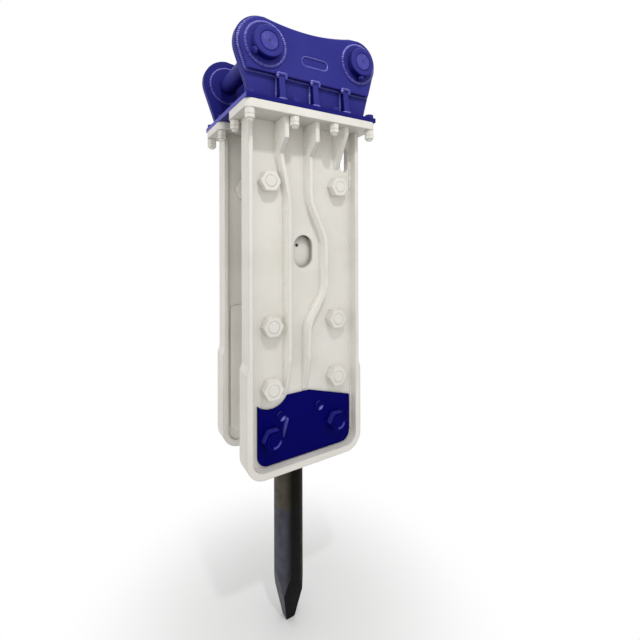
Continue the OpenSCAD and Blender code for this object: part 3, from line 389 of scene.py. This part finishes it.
WINDOW_PLACE = BASE_TOP + Vector((0, 0, -0.628))       # middle of the access window
WINDOW_R = 0.12                                        # room round it in which its walls lie
WALL_TOP = 0.006                                       # depth below the web's face at which their painted shadow begins
TOP_WALL, RIGHT_WALL = (0.0, 0.8), (0.2, 1.0)          # how far a wall is turned down or left
RIGHT_WALL_SHARE = 0.6


def window_wall_shadow(made):
    """How much painted shadow a point gets on the upper and right walls of the access window in a web."""
    web = inner_face("front_wear_plate")
    near = made.remap(made.from_axis(WINDOW_PLACE), WINDOW_R, WINDOW_R + PAINT_EDGE, 1, 0)
    deep = made.remap(made.math("ABSOLUTE", made.along("Y")), web - 2 * WALL_TOP, web - WALL_TOP, 1, 0)
    right = made.math("MULTIPLY", made.facing(LEFT, *RIGHT_WALL), RIGHT_WALL_SHARE)
    turned = made.math("MAXIMUM", made.facing(DOWN, *TOP_WALL), right)
    return made.math("MULTIPLY", made.math("MULTIPLY", near, deep), turned)


RIBS_HALF_W = 0.2                                      # reach of the ribs to each side of the middle


def lit_rib_sides(made):
    """One on the left sides of the ribs, which get painted light."""
    across = made.math("ABSOLUTE", made.math("SUBTRACT", made.along("X"), TOOL_AXIS))
    inside = made.remap(across, RIBS_HALF_W, RIBS_HALF_W + PAINT_EDGE, 1, 0)
    return made.math("MULTIPLY", inside, made.facing(LEFT))


FINISHES = {
    "blue_paint": blue_paint("blue_paint"),
    "panel_blue": panel_paint("panel_blue", 0.5, 0.004),
    "white_paint": white_paint("white_paint"),
    "bare_steel": bare_metal("bare_steel", STEELS),
    "tool_steel": tool_black("tool_steel"),
    "seal_rubber": rubber("seal_rubber"),
    "brass": bare_metal("brass", BRASSES),
}

OWN_FINISHES = {
    "flange_bolts": two_tone("flange_bolts_paint", (BLUE, BLUE_SHADE), 0.07, above_base_plate),
    "side_bolts": two_tone("side_bolts_paint", (PANEL, PANEL_SHADE), 0.03, over_wear_plates),
    # painted shade deep in the cylinder's corners, as round the access window
    "cylinder_block": paint("cylinder_paint", (WHITE, WHITE_SHADE, HOLLOW_SHADE), 0.45, 0.007, gloss=0.3, reach=0.07,
                            corner_shade=0.8),
    "bracket_base_plate": blue_paint("base_plate_paint", (FRONT, BASE_FRONT_SHADE), (LEFT, BASE_LEFT_LIGHT)),
    "front_ear": blue_paint("front_ear_paint", (REAR, BLUE_INSIDE_SHADE), reach=0.06, corner_shade=0.6),
    "rear_ear": blue_paint("rear_ear_paint", (FRONT, BLUE_INSIDE_SHADE)),
    "inner_pin_rings": blue_paint("inner_ring_paint", (FRONT, BLUE_INSIDE_SHADE), (REAR, BLUE_INSIDE_SHADE)),
    "wear_plate_nuts": panel_paint("panel_nut_paint", 0.5, 0.001, (UP_LEFT, NUT_LIT)),
}
for side_name, _ in SIDES:
    OWN_FINISHES |= {
        side_name + "_side_plate": white_paint(side_name + "_plate_paint", faces=((DOWN, WHITE_UNDER_SHADE),),
                                               spots=((lit_rib_sides, WHITE_LIT), (window_wall_shadow, HOLLOW_SHADE))),
        side_name + "_pin_collars": blue_paint(side_name + "_collar_paint", (DOWN, BLUE_UNDER_SHADE)),
        side_name + "_ear_doubler": blue_paint(side_name + "_doubler_paint", (UP, BLUE_EDGE_HIGHLIGHT)),
    }

WELD_FINISHES = {
    "blue_paint": paint("blue_welds", WELD_BLUES, 0.28, 0.001, gloss=0.35, faces=((WELD_LIGHT, WELD_LIT),)),
    "white_paint": paint("white_welds", WHITES, 0.32, 0.001, gloss=0.4),
}


def dress_nodes():
    """Gives every CAD node its own finish, or else the finish of its slot."""
    for part in frame["record"]["subparts"]:
        materials = nodes[part["node"]].data.materials
        materials.clear()
        materials.append(OWN_FINISHES.get(part["node"]) or FINISHES[part["material_slot"]])


# Rounded edges on the CAD nodes

EDGE_ROUNDING = {
    0.006: ("front_ear_doubler", "rear_ear_doubler"),
    0.003: ("bracket_base_plate", "front_ear", "rear_ear", "ear_gussets", "guide_pads", "back_head",
            "cylinder_block", "front_head", "valve_housing"),
    0.002: ("front_wear_plate", "rear_wear_plate", "front_pin_collars", "rear_pin_collars", "inner_pin_rings"),
    0.0012: ("chisel", "side_bolts", "flange_bolts", "stick_pin", "link_pin", "pin_lock_bolts", "valve_cap",
             "valve_bolts", "inlet_adapter", "outlet_adapter"),
}
ROUNDING_SEGMENTS = 3
SHARP = math.radians(32)
FLAT = math.radians(0.5)
SAME_PLACE = 1e-5         # corners this close together are one


def round_edges(node, width):
    """Rounds the sharp edges of a CAD node with modifiers, and shades it by face area."""
    piece = nodes[node]
    piece.modifiers.new("join_corners", "WELD").merge_threshold = SAME_PLACE
    flat = piece.modifiers.new("join_flats", "DECIMATE")
    flat.decimate_type = "DISSOLVE"
    flat.angle_limit = FLAT
    bevel = piece.modifiers.new("round_edges", "BEVEL")
    bevel.width = width
    bevel.segments = ROUNDING_SEGMENTS
    bevel.limit_method = "ANGLE"
    bevel.angle_limit = SHARP
    bevel.use_clamp_overlap = False
    bevel.miter_outer = "MITER_ARC"
    piece.modifiers.new("join_rounding", "WELD").merge_threshold = SAME_PLACE
    piece.modifiers.new("even_shading", "WEIGHTED_NORMAL").keep_sharp = False
    for face in piece.data.polygons:
        face.use_smooth = True


# New pieces

TOUCHING = 1e-6           # corners of a new piece this close together are one
GENTLE = math.radians(15)


def add_piece(name, mesh, body, slot, material=None, crease=SHARP):
    """Makes an object of a bmesh, which rides on a body with a slot's finish."""
    data = bpy.data.meshes.new(name)
    bmesh.ops.remove_doubles(mesh, verts=mesh.verts, dist=TOUCHING)
    bmesh.ops.recalc_face_normals(mesh, faces=mesh.faces)
    mesh.to_mesh(data)
    mesh.free()
    for face in data.polygons:
        face.use_smooth = True
    data.set_sharp_from_angle(angle=crease)
    data.materials.append(material or FINISHES[slot])
    piece = bpy.data.objects.new(name, data)
    bpy.context.scene.collection.objects.link(piece)
    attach(piece, body)
    return piece


def circle(mesh, centre, side, other, radius, count):
    """New corners round a circle in the plane of two directions."""
    turns = [math.tau * k / count for k in range(count)]
    return [mesh.verts.new(centre + (side * math.cos(a) + other * math.sin(a)) * radius) for a in turns]


def bridge(mesh, first, second):
    """Faces between two rings of corners, either of which may be a single corner."""
    count = max(len(first), len(second))
    for k in range(count):
        n = (k + 1) % count
        corners = [first[k % len(first)], first[n % len(first)], second[n % len(second)], second[k % len(second)]]
        mesh.faces.new(dict.fromkeys(corners))


def lathe(mesh, profile, centre, axis, segments=64):
    """Turns a profile of (radius, height) pairs about an axis through a centre."""
    side = axis.orthogonal().normalized()
    other = axis.cross(side)
    rings = []
    for radius, height in profile:
        middle = centre + axis * height
        rings.append(circle(mesh, middle, side, other, radius, segments) if radius else [mesh.verts.new(middle)])
    for first, second in zip(rings, rings[1:]):
        bridge(mesh, first, second)


# Weld beads along the seams of the CAD nodes

WELD_STEP = 0.0015                        # distance between the rings of a bead
RIPPLE = 0.0085                           # length of a ripple
BEAD_SIDES = 10
SMOOTHING = 6                             # passes that round the corners of a seam
BEAD_LEAST, RIPPLE_RISE, WANDER_RISE = 0.72, 0.34, 0.06        # shares of a bead's radius
WANDER_FAST, WANDER_SLOW, WANDER_START = 0.37, 0.113, 1.3
END_LEAST, END_RISE = 0.45, 0.11          # how thick a bead's end is, and how it grows from ring to ring
NO_LENGTH = 1e-9


def seam_chains(node, wanted):
    """Runs of sharp edges of a node whose middle passes the test, as lists of points and a closed mark."""
    mesh = bmesh.new()
    mesh.from_mesh(nodes[node].data)
    bmesh.ops.remove_doubles(mesh, verts=mesh.verts, dist=SAME_PLACE)
    chosen = {}        # a dict, because it keeps the order of the edges
    for edge in mesh.edges:
        if len(edge.link_faces) == 2 and edge.calc_face_angle(0) > SHARP:
            if wanted((edge.verts[0].co + edge.verts[1].co) / 2, edge):
                chosen[edge] = True
    runs = []
    while chosen:
        edge = next(iter(chosen))
        del chosen[edge]
        run = [edge.verts[0], edge.verts[1]]
        for end in (-1, 0):
            while more := [e for e in run[end].link_edges if e in chosen]:
                del chosen[more[0]]
                ahead = more[0].other_vert(run[end])
                run.insert(len(run) if end else 0, ahead)
        closed = run[0] == run[-1]
        runs.append(([v.co.copy() for v in (run[:-1] if closed else run)], closed))
    mesh.free()
    return runs


def spaced(points, closed):
    """The same run with evenly spaced points and slightly rounded corners."""
    path = points + points[:1] if closed else points
    lengths = [(b - a).length for a, b in zip(path, path[1:])]
    total = sum(lengths)
    count = max(4, round(total / WELD_STEP))
    even, segment, passed = [], 0, 0.0
    for i in range(count if closed else count + 1):
        at = total * i / count
        while segment < len(lengths) - 1 and passed + lengths[segment] < at:
            passed += lengths[segment]
            segment += 1
        share = (at - passed) / max(lengths[segment], NO_LENGTH)
        even.append(path[segment].lerp(path[segment + 1], min(share, 1)))
    for _ in range(SMOOTHING):
        kept = list(even)
        for i in range(len(even)):
            if closed or 0 < i < len(even) - 1:
                even[i] = (kept[i - 1] + kept[i] * 2 + kept[(i + 1) % len(kept)]) / 4
    return even


def bead(mesh, points, closed, radius, rippled=True):
    """Sweeps a weld bead, or a smooth bar, along evenly spaced points."""
    count = len(points)
    side, rings = None, []
    for i, point in enumerate(points):
        before = points[i - 1] if closed or i else point
        after = points[(i + 1) % count] if closed or i < count - 1 else point
        along = (after - before).normalized()
        side = side or along.orthogonal()
        side = (side - along * side.dot(along)).normalized()
        size = radius
        if rippled:
            phase = (i * WELD_STEP / RIPPLE) % 1
            wander = math.sin(i * WANDER_FAST) * math.sin(i * WANDER_SLOW + WANDER_START)
            size *= BEAD_LEAST + RIPPLE_RISE * math.sqrt(1 - phase * phase) + WANDER_RISE * wander
        if not closed:
            size *= min(1, END_LEAST + min(i, count - 1 - i) * END_RISE)
        rings.append(circle(mesh, point, side, along.cross(side), size, BEAD_SIDES))
    for first, second in zip(rings, rings[1:] + rings[:1] if closed else rings[1:]):
        bridge(mesh, first, second)
    if not closed:
        mesh.faces.new(rings[0][::-1])
        mesh.faces.new(rings[-1])


def add_welds(name, slot, radius, runs):
    mesh = bmesh.new()
    for points, closed in runs:
        bead(mesh, spaced(points, closed), closed, radius)
    return add_piece(name, mesh, "housing", slot, WELD_FINISHES[slot])


NEAR = 1e-4               # how far an edge may lie from the plane in which it is looked for
PIN_ROOM = 0.05           # radius round a pin's axis in which no seam is welded
PLATE_WELD_R, GUSSET_WELD_R = 0.008, 0.006


def weld_bracket():
    """Beads round doublers, pin rings, gussets and the feet of the ears."""
    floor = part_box("front_ear")[0].z
    pins = [sum(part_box(pin), Vector()) / 2 for pin in ("stick_pin", "link_pin")]
    for side, sign in SIDES:
        ear_back, ear_face = inner_face(side + "_ear"), outer_face(side + "_ear")
        doubler_face = outer_face(side + "_ear_doubler")

        def at_level(level):
            def test(at, edge):
                clear = all(math.hypot(at.x - pin.x, at.z - pin.z) > PIN_ROOM for pin in pins)
                return abs(at.y - sign * level) < NEAR and clear
            return test

        def ear_foot(at, edge):
            return abs(at.z - floor) < NEAR

        def gusset_seam(at, edge):
            return at.y * sign > 0 and (ear_foot(at, edge) or abs(at.y - sign * ear_face) < NEAR)

        for name, radius, node, seam in (
                ("_doubler_weld", PLATE_WELD_R, side + "_ear_doubler", at_level(ear_face)),
                ("_ring_welds", PLATE_WELD_R, side + "_pin_collars", at_level(doubler_face)),
                ("_inner_ring_welds", PLATE_WELD_R, "inner_pin_rings", at_level(ear_back)),
                ("_ear_foot_weld", PLATE_WELD_R, side + "_ear", ear_foot),
                ("_gusset_welds", GUSSET_WELD_R, "ear_gussets", gusset_seam)):
            add_welds(side + name, "blue_paint", radius, seam_chains(node, seam))
        add_welds(side + "_gusset_knobs", "blue_paint", KNOB_R, gusset_knobs(side, sign * doubler_face))


GUSSET_T = 0.028
GUSSET_SHARES = (0, 0.5, 1)               # places of the gussets along the ear
KNOB_R = 0.0075
KNOB_HALF_W = 0.019
KNOB_UP = 0.005
KNOB_DOWN = 0.016


def gusset_knobs(side, face):
    """Short beads that wrap the top of each gusset where it meets the doubler's lower edge."""
    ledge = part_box(side + "_ear_doubler")[0].z
    low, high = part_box("ear_gussets")
    corners = [(-KNOB_HALF_W, -KNOB_DOWN), (-KNOB_HALF_W, KNOB_UP), (KNOB_HALF_W, KNOB_UP),
               (KNOB_HALF_W, -KNOB_DOWN)]
    runs = []
    for share in GUSSET_SHARES:
        middle = low.x + GUSSET_T / 2 + (high.x - low.x - GUSSET_T) * share
        runs.append(([Vector((middle + x, face, ledge + z)) for x, z in corners], False))
    return runs


WINDOW_REACH = 0.07       # half of the room in which the weld window's edge is looked for
WINDOW_SUNK = 0.006       # depth of the fill below the doubler's face
WINDOW_FILL = 0.006       # thickness of the fill
WINDOW_WELD_R = 0.005


def fill_windows():
    """Weld metal that fills the doublers' windows almost to the face, with a bead round its edge."""
    for side, sign in SIDES:
        low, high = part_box(side + "_ear_doubler")
        face = outer_face(side + "_ear_doubler")

        def window_edge(at, edge):
            return (abs(at.y - sign * face) < NEAR and abs(at.x - TOOL_AXIS) < WINDOW_REACH
                    and abs(at.z - (low.z + high.z) / 2) < WINDOW_REACH)

        mesh = bmesh.new()
        runs = []
        for points, _ in seam_chains(side + "_ear_doubler", window_edge):
            sunk = [point - Vector((0, sign * WINDOW_SUNK, 0)) for point in points]
            front = [mesh.verts.new(point) for point in sunk]
            back = [mesh.verts.new(point - Vector((0, sign * WINDOW_FILL, 0))) for point in sunk]
            mesh.faces.new(front)
            mesh.faces.new(back)
            bridge(mesh, front, back)
            runs.append((sunk, True))
        add_piece(side + "_window_fill", mesh, "housing", "blue_paint")
        add_welds(side + "_window_weld", "blue_paint", WINDOW_WELD_R, runs)


RIB_WELD_R = 0.007
RIB_WELD_DOWN = 0.01      # how far the beads go below the top of the wear plates
WALL_LEFT = -0.5          # faces whose normal goes further left are left walls


def weld_ribs():
    """Beads along the left sides of the ribs on both side plates."""
    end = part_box("front_wear_plate")[1].z - RIB_WELD_DOWN
    for side, sign in SIDES:
        web = inner_face(side + "_wear_plate")

        def rib_seam(at, edge):
            wall = any(face.normal.x < WALL_LEFT for face in edge.link_faces)
            return abs(at.y - sign * web) < NEAR and wall and not edge.is_convex and at.z > end

        add_welds(side + "_rib_welds", "white_paint", RIB_WELD_R, seam_chains(side + "_side_plate", rib_seam))


# Turned faces of the pins

TURNING_PITCH = 0.0016
TURNING_DEPTH = 0.00006
PIN_FACE_R = 0.0355
PIN_FACE_H = 0.0012
PIN_FACE_EDGE = PIN_FACE_H * 0.5          # height at which its rounded edge begins
HOLE_R = 0.0045
HOLE_LIP, HOLE_FLOOR = PIN_FACE_H * 0.3, PIN_FACE_H * 0.1
HOLE_FLOOR_R = HOLE_R * 0.4
HOLE_SEGMENTS = 24

PIN_FACE = [(PIN_FACE_R, -PIN_FACE_H), (PIN_FACE_R, PIN_FACE_EDGE), (PIN_FACE_R - PIN_FACE_H, PIN_FACE_H),
            (HOLE_R + PIN_FACE_H, PIN_FACE_H), (HOLE_R, HOLE_LIP), (HOLE_R, -PIN_FACE_H),
            (PIN_FACE_R, -PIN_FACE_H)]
PIN_HOLE = [(0, -PIN_FACE_H), (HOLE_R, -PIN_FACE_H), (HOLE_R, HOLE_LIP), (HOLE_FLOOR_R, HOLE_FLOOR),
            (0, HOLE_FLOOR)]


def turned_paint(name, centre):
    """Blue paint, lighter to stand in for the face's sheen, over a face with fine rings from the lathe, about an
    axis along Y through the centre.
    """
    made = Finish(name, Specular_IOR_Level=0.25)
    rings = made.math("SINE", made.math("MULTIPLY", made.from_axis(centre), math.tau / TURNING_PITCH))
    tone = made.mix(made.patches(30, 4), *TURNED_SHEEN_BLUES)
    return made.done(tone, made.dullness(90, 0.3, 0.42), made.bump(rings, TURNING_DEPTH))


def face_pins():
    """Turned end face with a centre hole on both ends of each pin; the holes are lined in dark rubber that stands
    in for the shade in them.
    """
    for pin in ("stick_pin", "link_pin"):
        low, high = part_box(pin)
        faces, hole_shades = bmesh.new(), bmesh.new()
        for end, axis in ((low.y, Vector(FRONT)), (high.y, Vector(REAR))):
            centre = Vector(((low.x + high.x) / 2, end, (low.z + high.z) / 2))
            lathe(faces, PIN_FACE, centre, axis)
            lathe(hole_shades, PIN_HOLE, centre, axis, HOLE_SEGMENTS)
        add_piece(pin + "_end_faces", faces, pin, "blue_paint", turned_paint(pin + "_turned", centre), GENTLE)
        add_piece(pin + "_centre_hole_shades", hole_shades, pin, "seal_rubber")


# Plugs, nut rings and nut keepers on the wear plates; places go across and down from the base plate's top

PLUG_PLACES = ((-0.119, -1.346), (0.075, -1.342))
PLUG_R = 0.022
PLUG_RIM = 0.005                              # height of its rim over the plate
PLUG_FLOOR = 0.0005                           # height of its middle over the plate
PLUG_SUNK = 0.001                             # depth of its back in the plate
PLUG_ROUNDING = 0.0004
PLUG_SEGMENTS = 48
DISH_STEPS = 8
DISH_LIT = (0.87, 0.96)                       # how far a dish's side with painted highlight is turned to the light
NUT_PLACES = ((-0.165, -1.43), (0.165, -1.43))
RING_IN, RING_OUT, RING_EDGE = 0.0255, 0.0325, 0.034     # radii of the dished ring on a nut
RING_H = 0.004
KEEPER_ENDS = ((-0.088, -1.358), (-0.117, -1.447))
KEEPER_R = 0.0095

DISH_R = PLUG_R - 2 * PLUG_ROUNDING
PLUG = [(0, -PLUG_SUNK), (PLUG_R, -PLUG_SUNK), (PLUG_R, PLUG_RIM - PLUG_ROUNDING),
        (PLUG_R - PLUG_ROUNDING, PLUG_RIM)]
for step in range(DISH_STEPS, -1, -1):
    PLUG.append((DISH_R * step / DISH_STEPS, PLUG_FLOOR + (PLUG_RIM - PLUG_FLOOR) * (step / DISH_STEPS) ** 2))
RING = [(RING_IN, -PLUG_SUNK), (RING_IN, PLUG_FLOOR), (RING_OUT, RING_H), (RING_EDGE, RING_H),
        (RING_EDGE, -PLUG_SUNK), (RING_IN, -PLUG_SUNK)]


def fit_wear_plates():
    """Dished plugs and dished rings on the nuts, with painted highlights in their dishes, and the keeper bar of a
    nut on each wear plate, in a lighter blue that stands in for its sheen.
    """
    # lighter blue on the keeper bar as painted sheen
    keeper_sheen = paint("keeper_sheen_paint", KEEPER_BLUES, 0.32, 0.001, gloss=0.5)
    plug_dish, ring_dish = (panel_paint(name, 0.4, 0.001, (FRONT_UP_LEFT, lit, *DISH_LIT))
                            for name, lit in (("plug_dish", PLUG_LIT), ("ring_dish", RING_LIT)))
    for side, sign in SIDES:
        out = Vector((0, sign, 0))
        face = BASE_TOP + out * outer_face(side + "_wear_plate")
        nut_face = BASE_TOP + out * outer_face("wear_plate_nuts")
        for number, (across, down) in enumerate(PLUG_PLACES):
            plug = bmesh.new()
            lathe(plug, PLUG, face + Vector((across, 0, down)), out, PLUG_SEGMENTS)
            add_piece(f"{side}_wear_plate_plug_{number}", plug, "housing", "panel_blue", plug_dish, GENTLE)
        rings = bmesh.new()
        for across, down in NUT_PLACES:
            lathe(rings, RING, nut_face + Vector((across, 0, down)), out)
        add_piece(side + "_nut_rings", rings, "housing", "panel_blue", ring_dish, GENTLE)
        keeper = bmesh.new()
        ends = [face + Vector((across, 0, down)) for across, down in KEEPER_ENDS]
        bead(keeper, spaced(ends, False), False, KEEPER_R, rippled=False)
        add_piece(side + "_nut_keeper", keeper, "housing", "panel_blue", keeper_sheen)


# Dark rubber disc in the test port of the cylinder, which stands in for the shade in the hole

PORT_PLACE = Vector((-0.018, 0, -0.599))      # from the middle of the base plate's top
PORT_R = 0.0068
PORT_SUNK = 0.002
PORT_H = 0.004
PORT_SEGMENTS = 32
PORT_SHADE_DISC = [(0, -PORT_H), (PORT_R, -PORT_H), (PORT_R, 0), (PORT_R * 0.8, 0), (PORT_R * 0.5, -PORT_H / 2),
             (0, -PORT_H / 2)]


def shade_test_port():
    """Dished dark rubber disc just inside the test port, standing in for the shade in the hole."""
    face = Vector((0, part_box("cylinder_block")[0].y + PORT_SUNK, 0))
    plug = bmesh.new()
    lathe(plug, PORT_SHADE_DISC, BASE_TOP + PORT_PLACE + face, Vector(FRONT), PORT_SEGMENTS)
    add_piece("test_port_shade_disc", plug, "housing", "seal_rubber")


# Floor, light and background

FLOOR_R = 15.0
FLOOR_MIDDLE_R = 0.6
FLOOR_TONES = (srgb(236, 236, 236), srgb(232, 232, 231))
FLOOR_CLOUDS = 2
FLOOR_FADE = (0.25, 1.1)      # distances from the tool over which the floor goes over into white
WHITE_LIGHT = (1, 1, 1, 1)
AMBIENT = 0.86
KEY_ENERGY = 27
KEY_SIZE = 0.2
KEY_PLACE = Vector((-0.1, -2.0, 1.55))
LAMP_AIM = Vector((0.2, 0, -1.0))
FILL_ENERGY = 20
FILL_SIZE = 3.0
FILL_PLACE = Vector((-4.5, -2.6, 0.2))


def seen_directly(tree):
    """One where a ray comes straight from the camera, a reflection or clear glass."""
    rays = tree.nodes.new("ShaderNodeLightPath").outputs
    seen = rays["Is Camera Ray"]
    for kind in ("Is Glossy Ray", "Is Transmission Ray"):
        made = tree.nodes.new("ShaderNodeMath")
        made.operation = "MAXIMUM"
        tree.links.new(seen, made.inputs[0])
        tree.links.new(rays[kind], made.inputs[1])
        seen = made.outputs[0]
    return seen


def blend_shaders(tree, share, first, second, output):
    """Sends a blend of two shaders to the output node."""
    blend = tree.nodes.new("ShaderNodeMixShader")
    for socket, source in zip(blend.inputs, (share, first.outputs[0], second.outputs[0])):
        tree.links.new(source, socket)
    tree.links.new(blend.outputs[0], tree.nodes[output].inputs["Surface"])


def make_world():
    """White to look at, and a plain even light on the object."""
    world = bpy.data.worlds.new("studio")
    world.use_nodes = True
    tree = world.node_tree
    light, white = tree.nodes["Background"], tree.nodes.new("ShaderNodeBackground")
    for background, strength in ((light, AMBIENT), (white, 1)):
        background.inputs["Color"].default_value = WHITE_LIGHT
        background.inputs["Strength"].default_value = strength
    blend_shaders(tree, seen_directly(tree), light, white, "World Output")
    bpy.context.scene.world = world


def make_floor():
    """Pale floor under the tool's point, which fades to white away from the object."""
    mesh = bmesh.new()
    lathe(mesh, [(0, 0), (FLOOR_MIDDLE_R, 0), (FLOOR_R, 0)], Vector(), Vector(UP))
    data = bpy.data.meshes.new("floor")
    mesh.to_mesh(data)
    mesh.free()
    floor = bpy.data.objects.new("floor", data)
    low, high = cad_box
    floor.location = ((low.x + high.x) / 2, (low.y + high.y) / 2, low.z)
    bpy.context.scene.collection.objects.link(floor)

    made = Finish("floor", Specular_IOR_Level=0.0, Roughness=1.0)
    made.done(made.mix(made.noise(FLOOR_CLOUDS), *FLOOR_TONES))
    fade = made.remap(made.vector("LENGTH", made.place, output="Value"), *FLOOR_FADE, 0, 1)
    share = made.math("MULTIPLY", fade, seen_directly(made.tree))
    white = made.node("ShaderNodeEmission", Color=WHITE_LIGHT, Strength=1.0)
    blend_shaders(made.tree, share, made.surface, white, "Material Output")
    data.materials.append(made.material)


def make_lamp(name, place, size, energy):
    data = bpy.data.lights.new(name, "AREA")
    data.shape = "DISK"
    data.size = size
    data.energy = energy
    lamp = bpy.data.objects.new(name, data)
    lamp.location = place
    lamp.rotation_euler = (LAMP_AIM - place).to_track_quat("-Z", "Y").to_euler()
    bpy.context.scene.collection.objects.link(lamp)


make_camera()
dress_nodes()
for rounding, names in EDGE_ROUNDING.items():
    for node_name in names:
        round_edges(node_name, rounding)
weld_bracket()
fill_windows()
weld_ribs()
face_pins()
fit_wear_plates()
shade_test_port()
make_world()
make_floor()
make_lamp("key", KEY_PLACE, KEY_SIZE, KEY_ENERGY)
make_lamp("fill", FILL_PLACE, FILL_SIZE, FILL_ENERGY)
bpy.context.scene.view_settings.view_transform = "Standard"
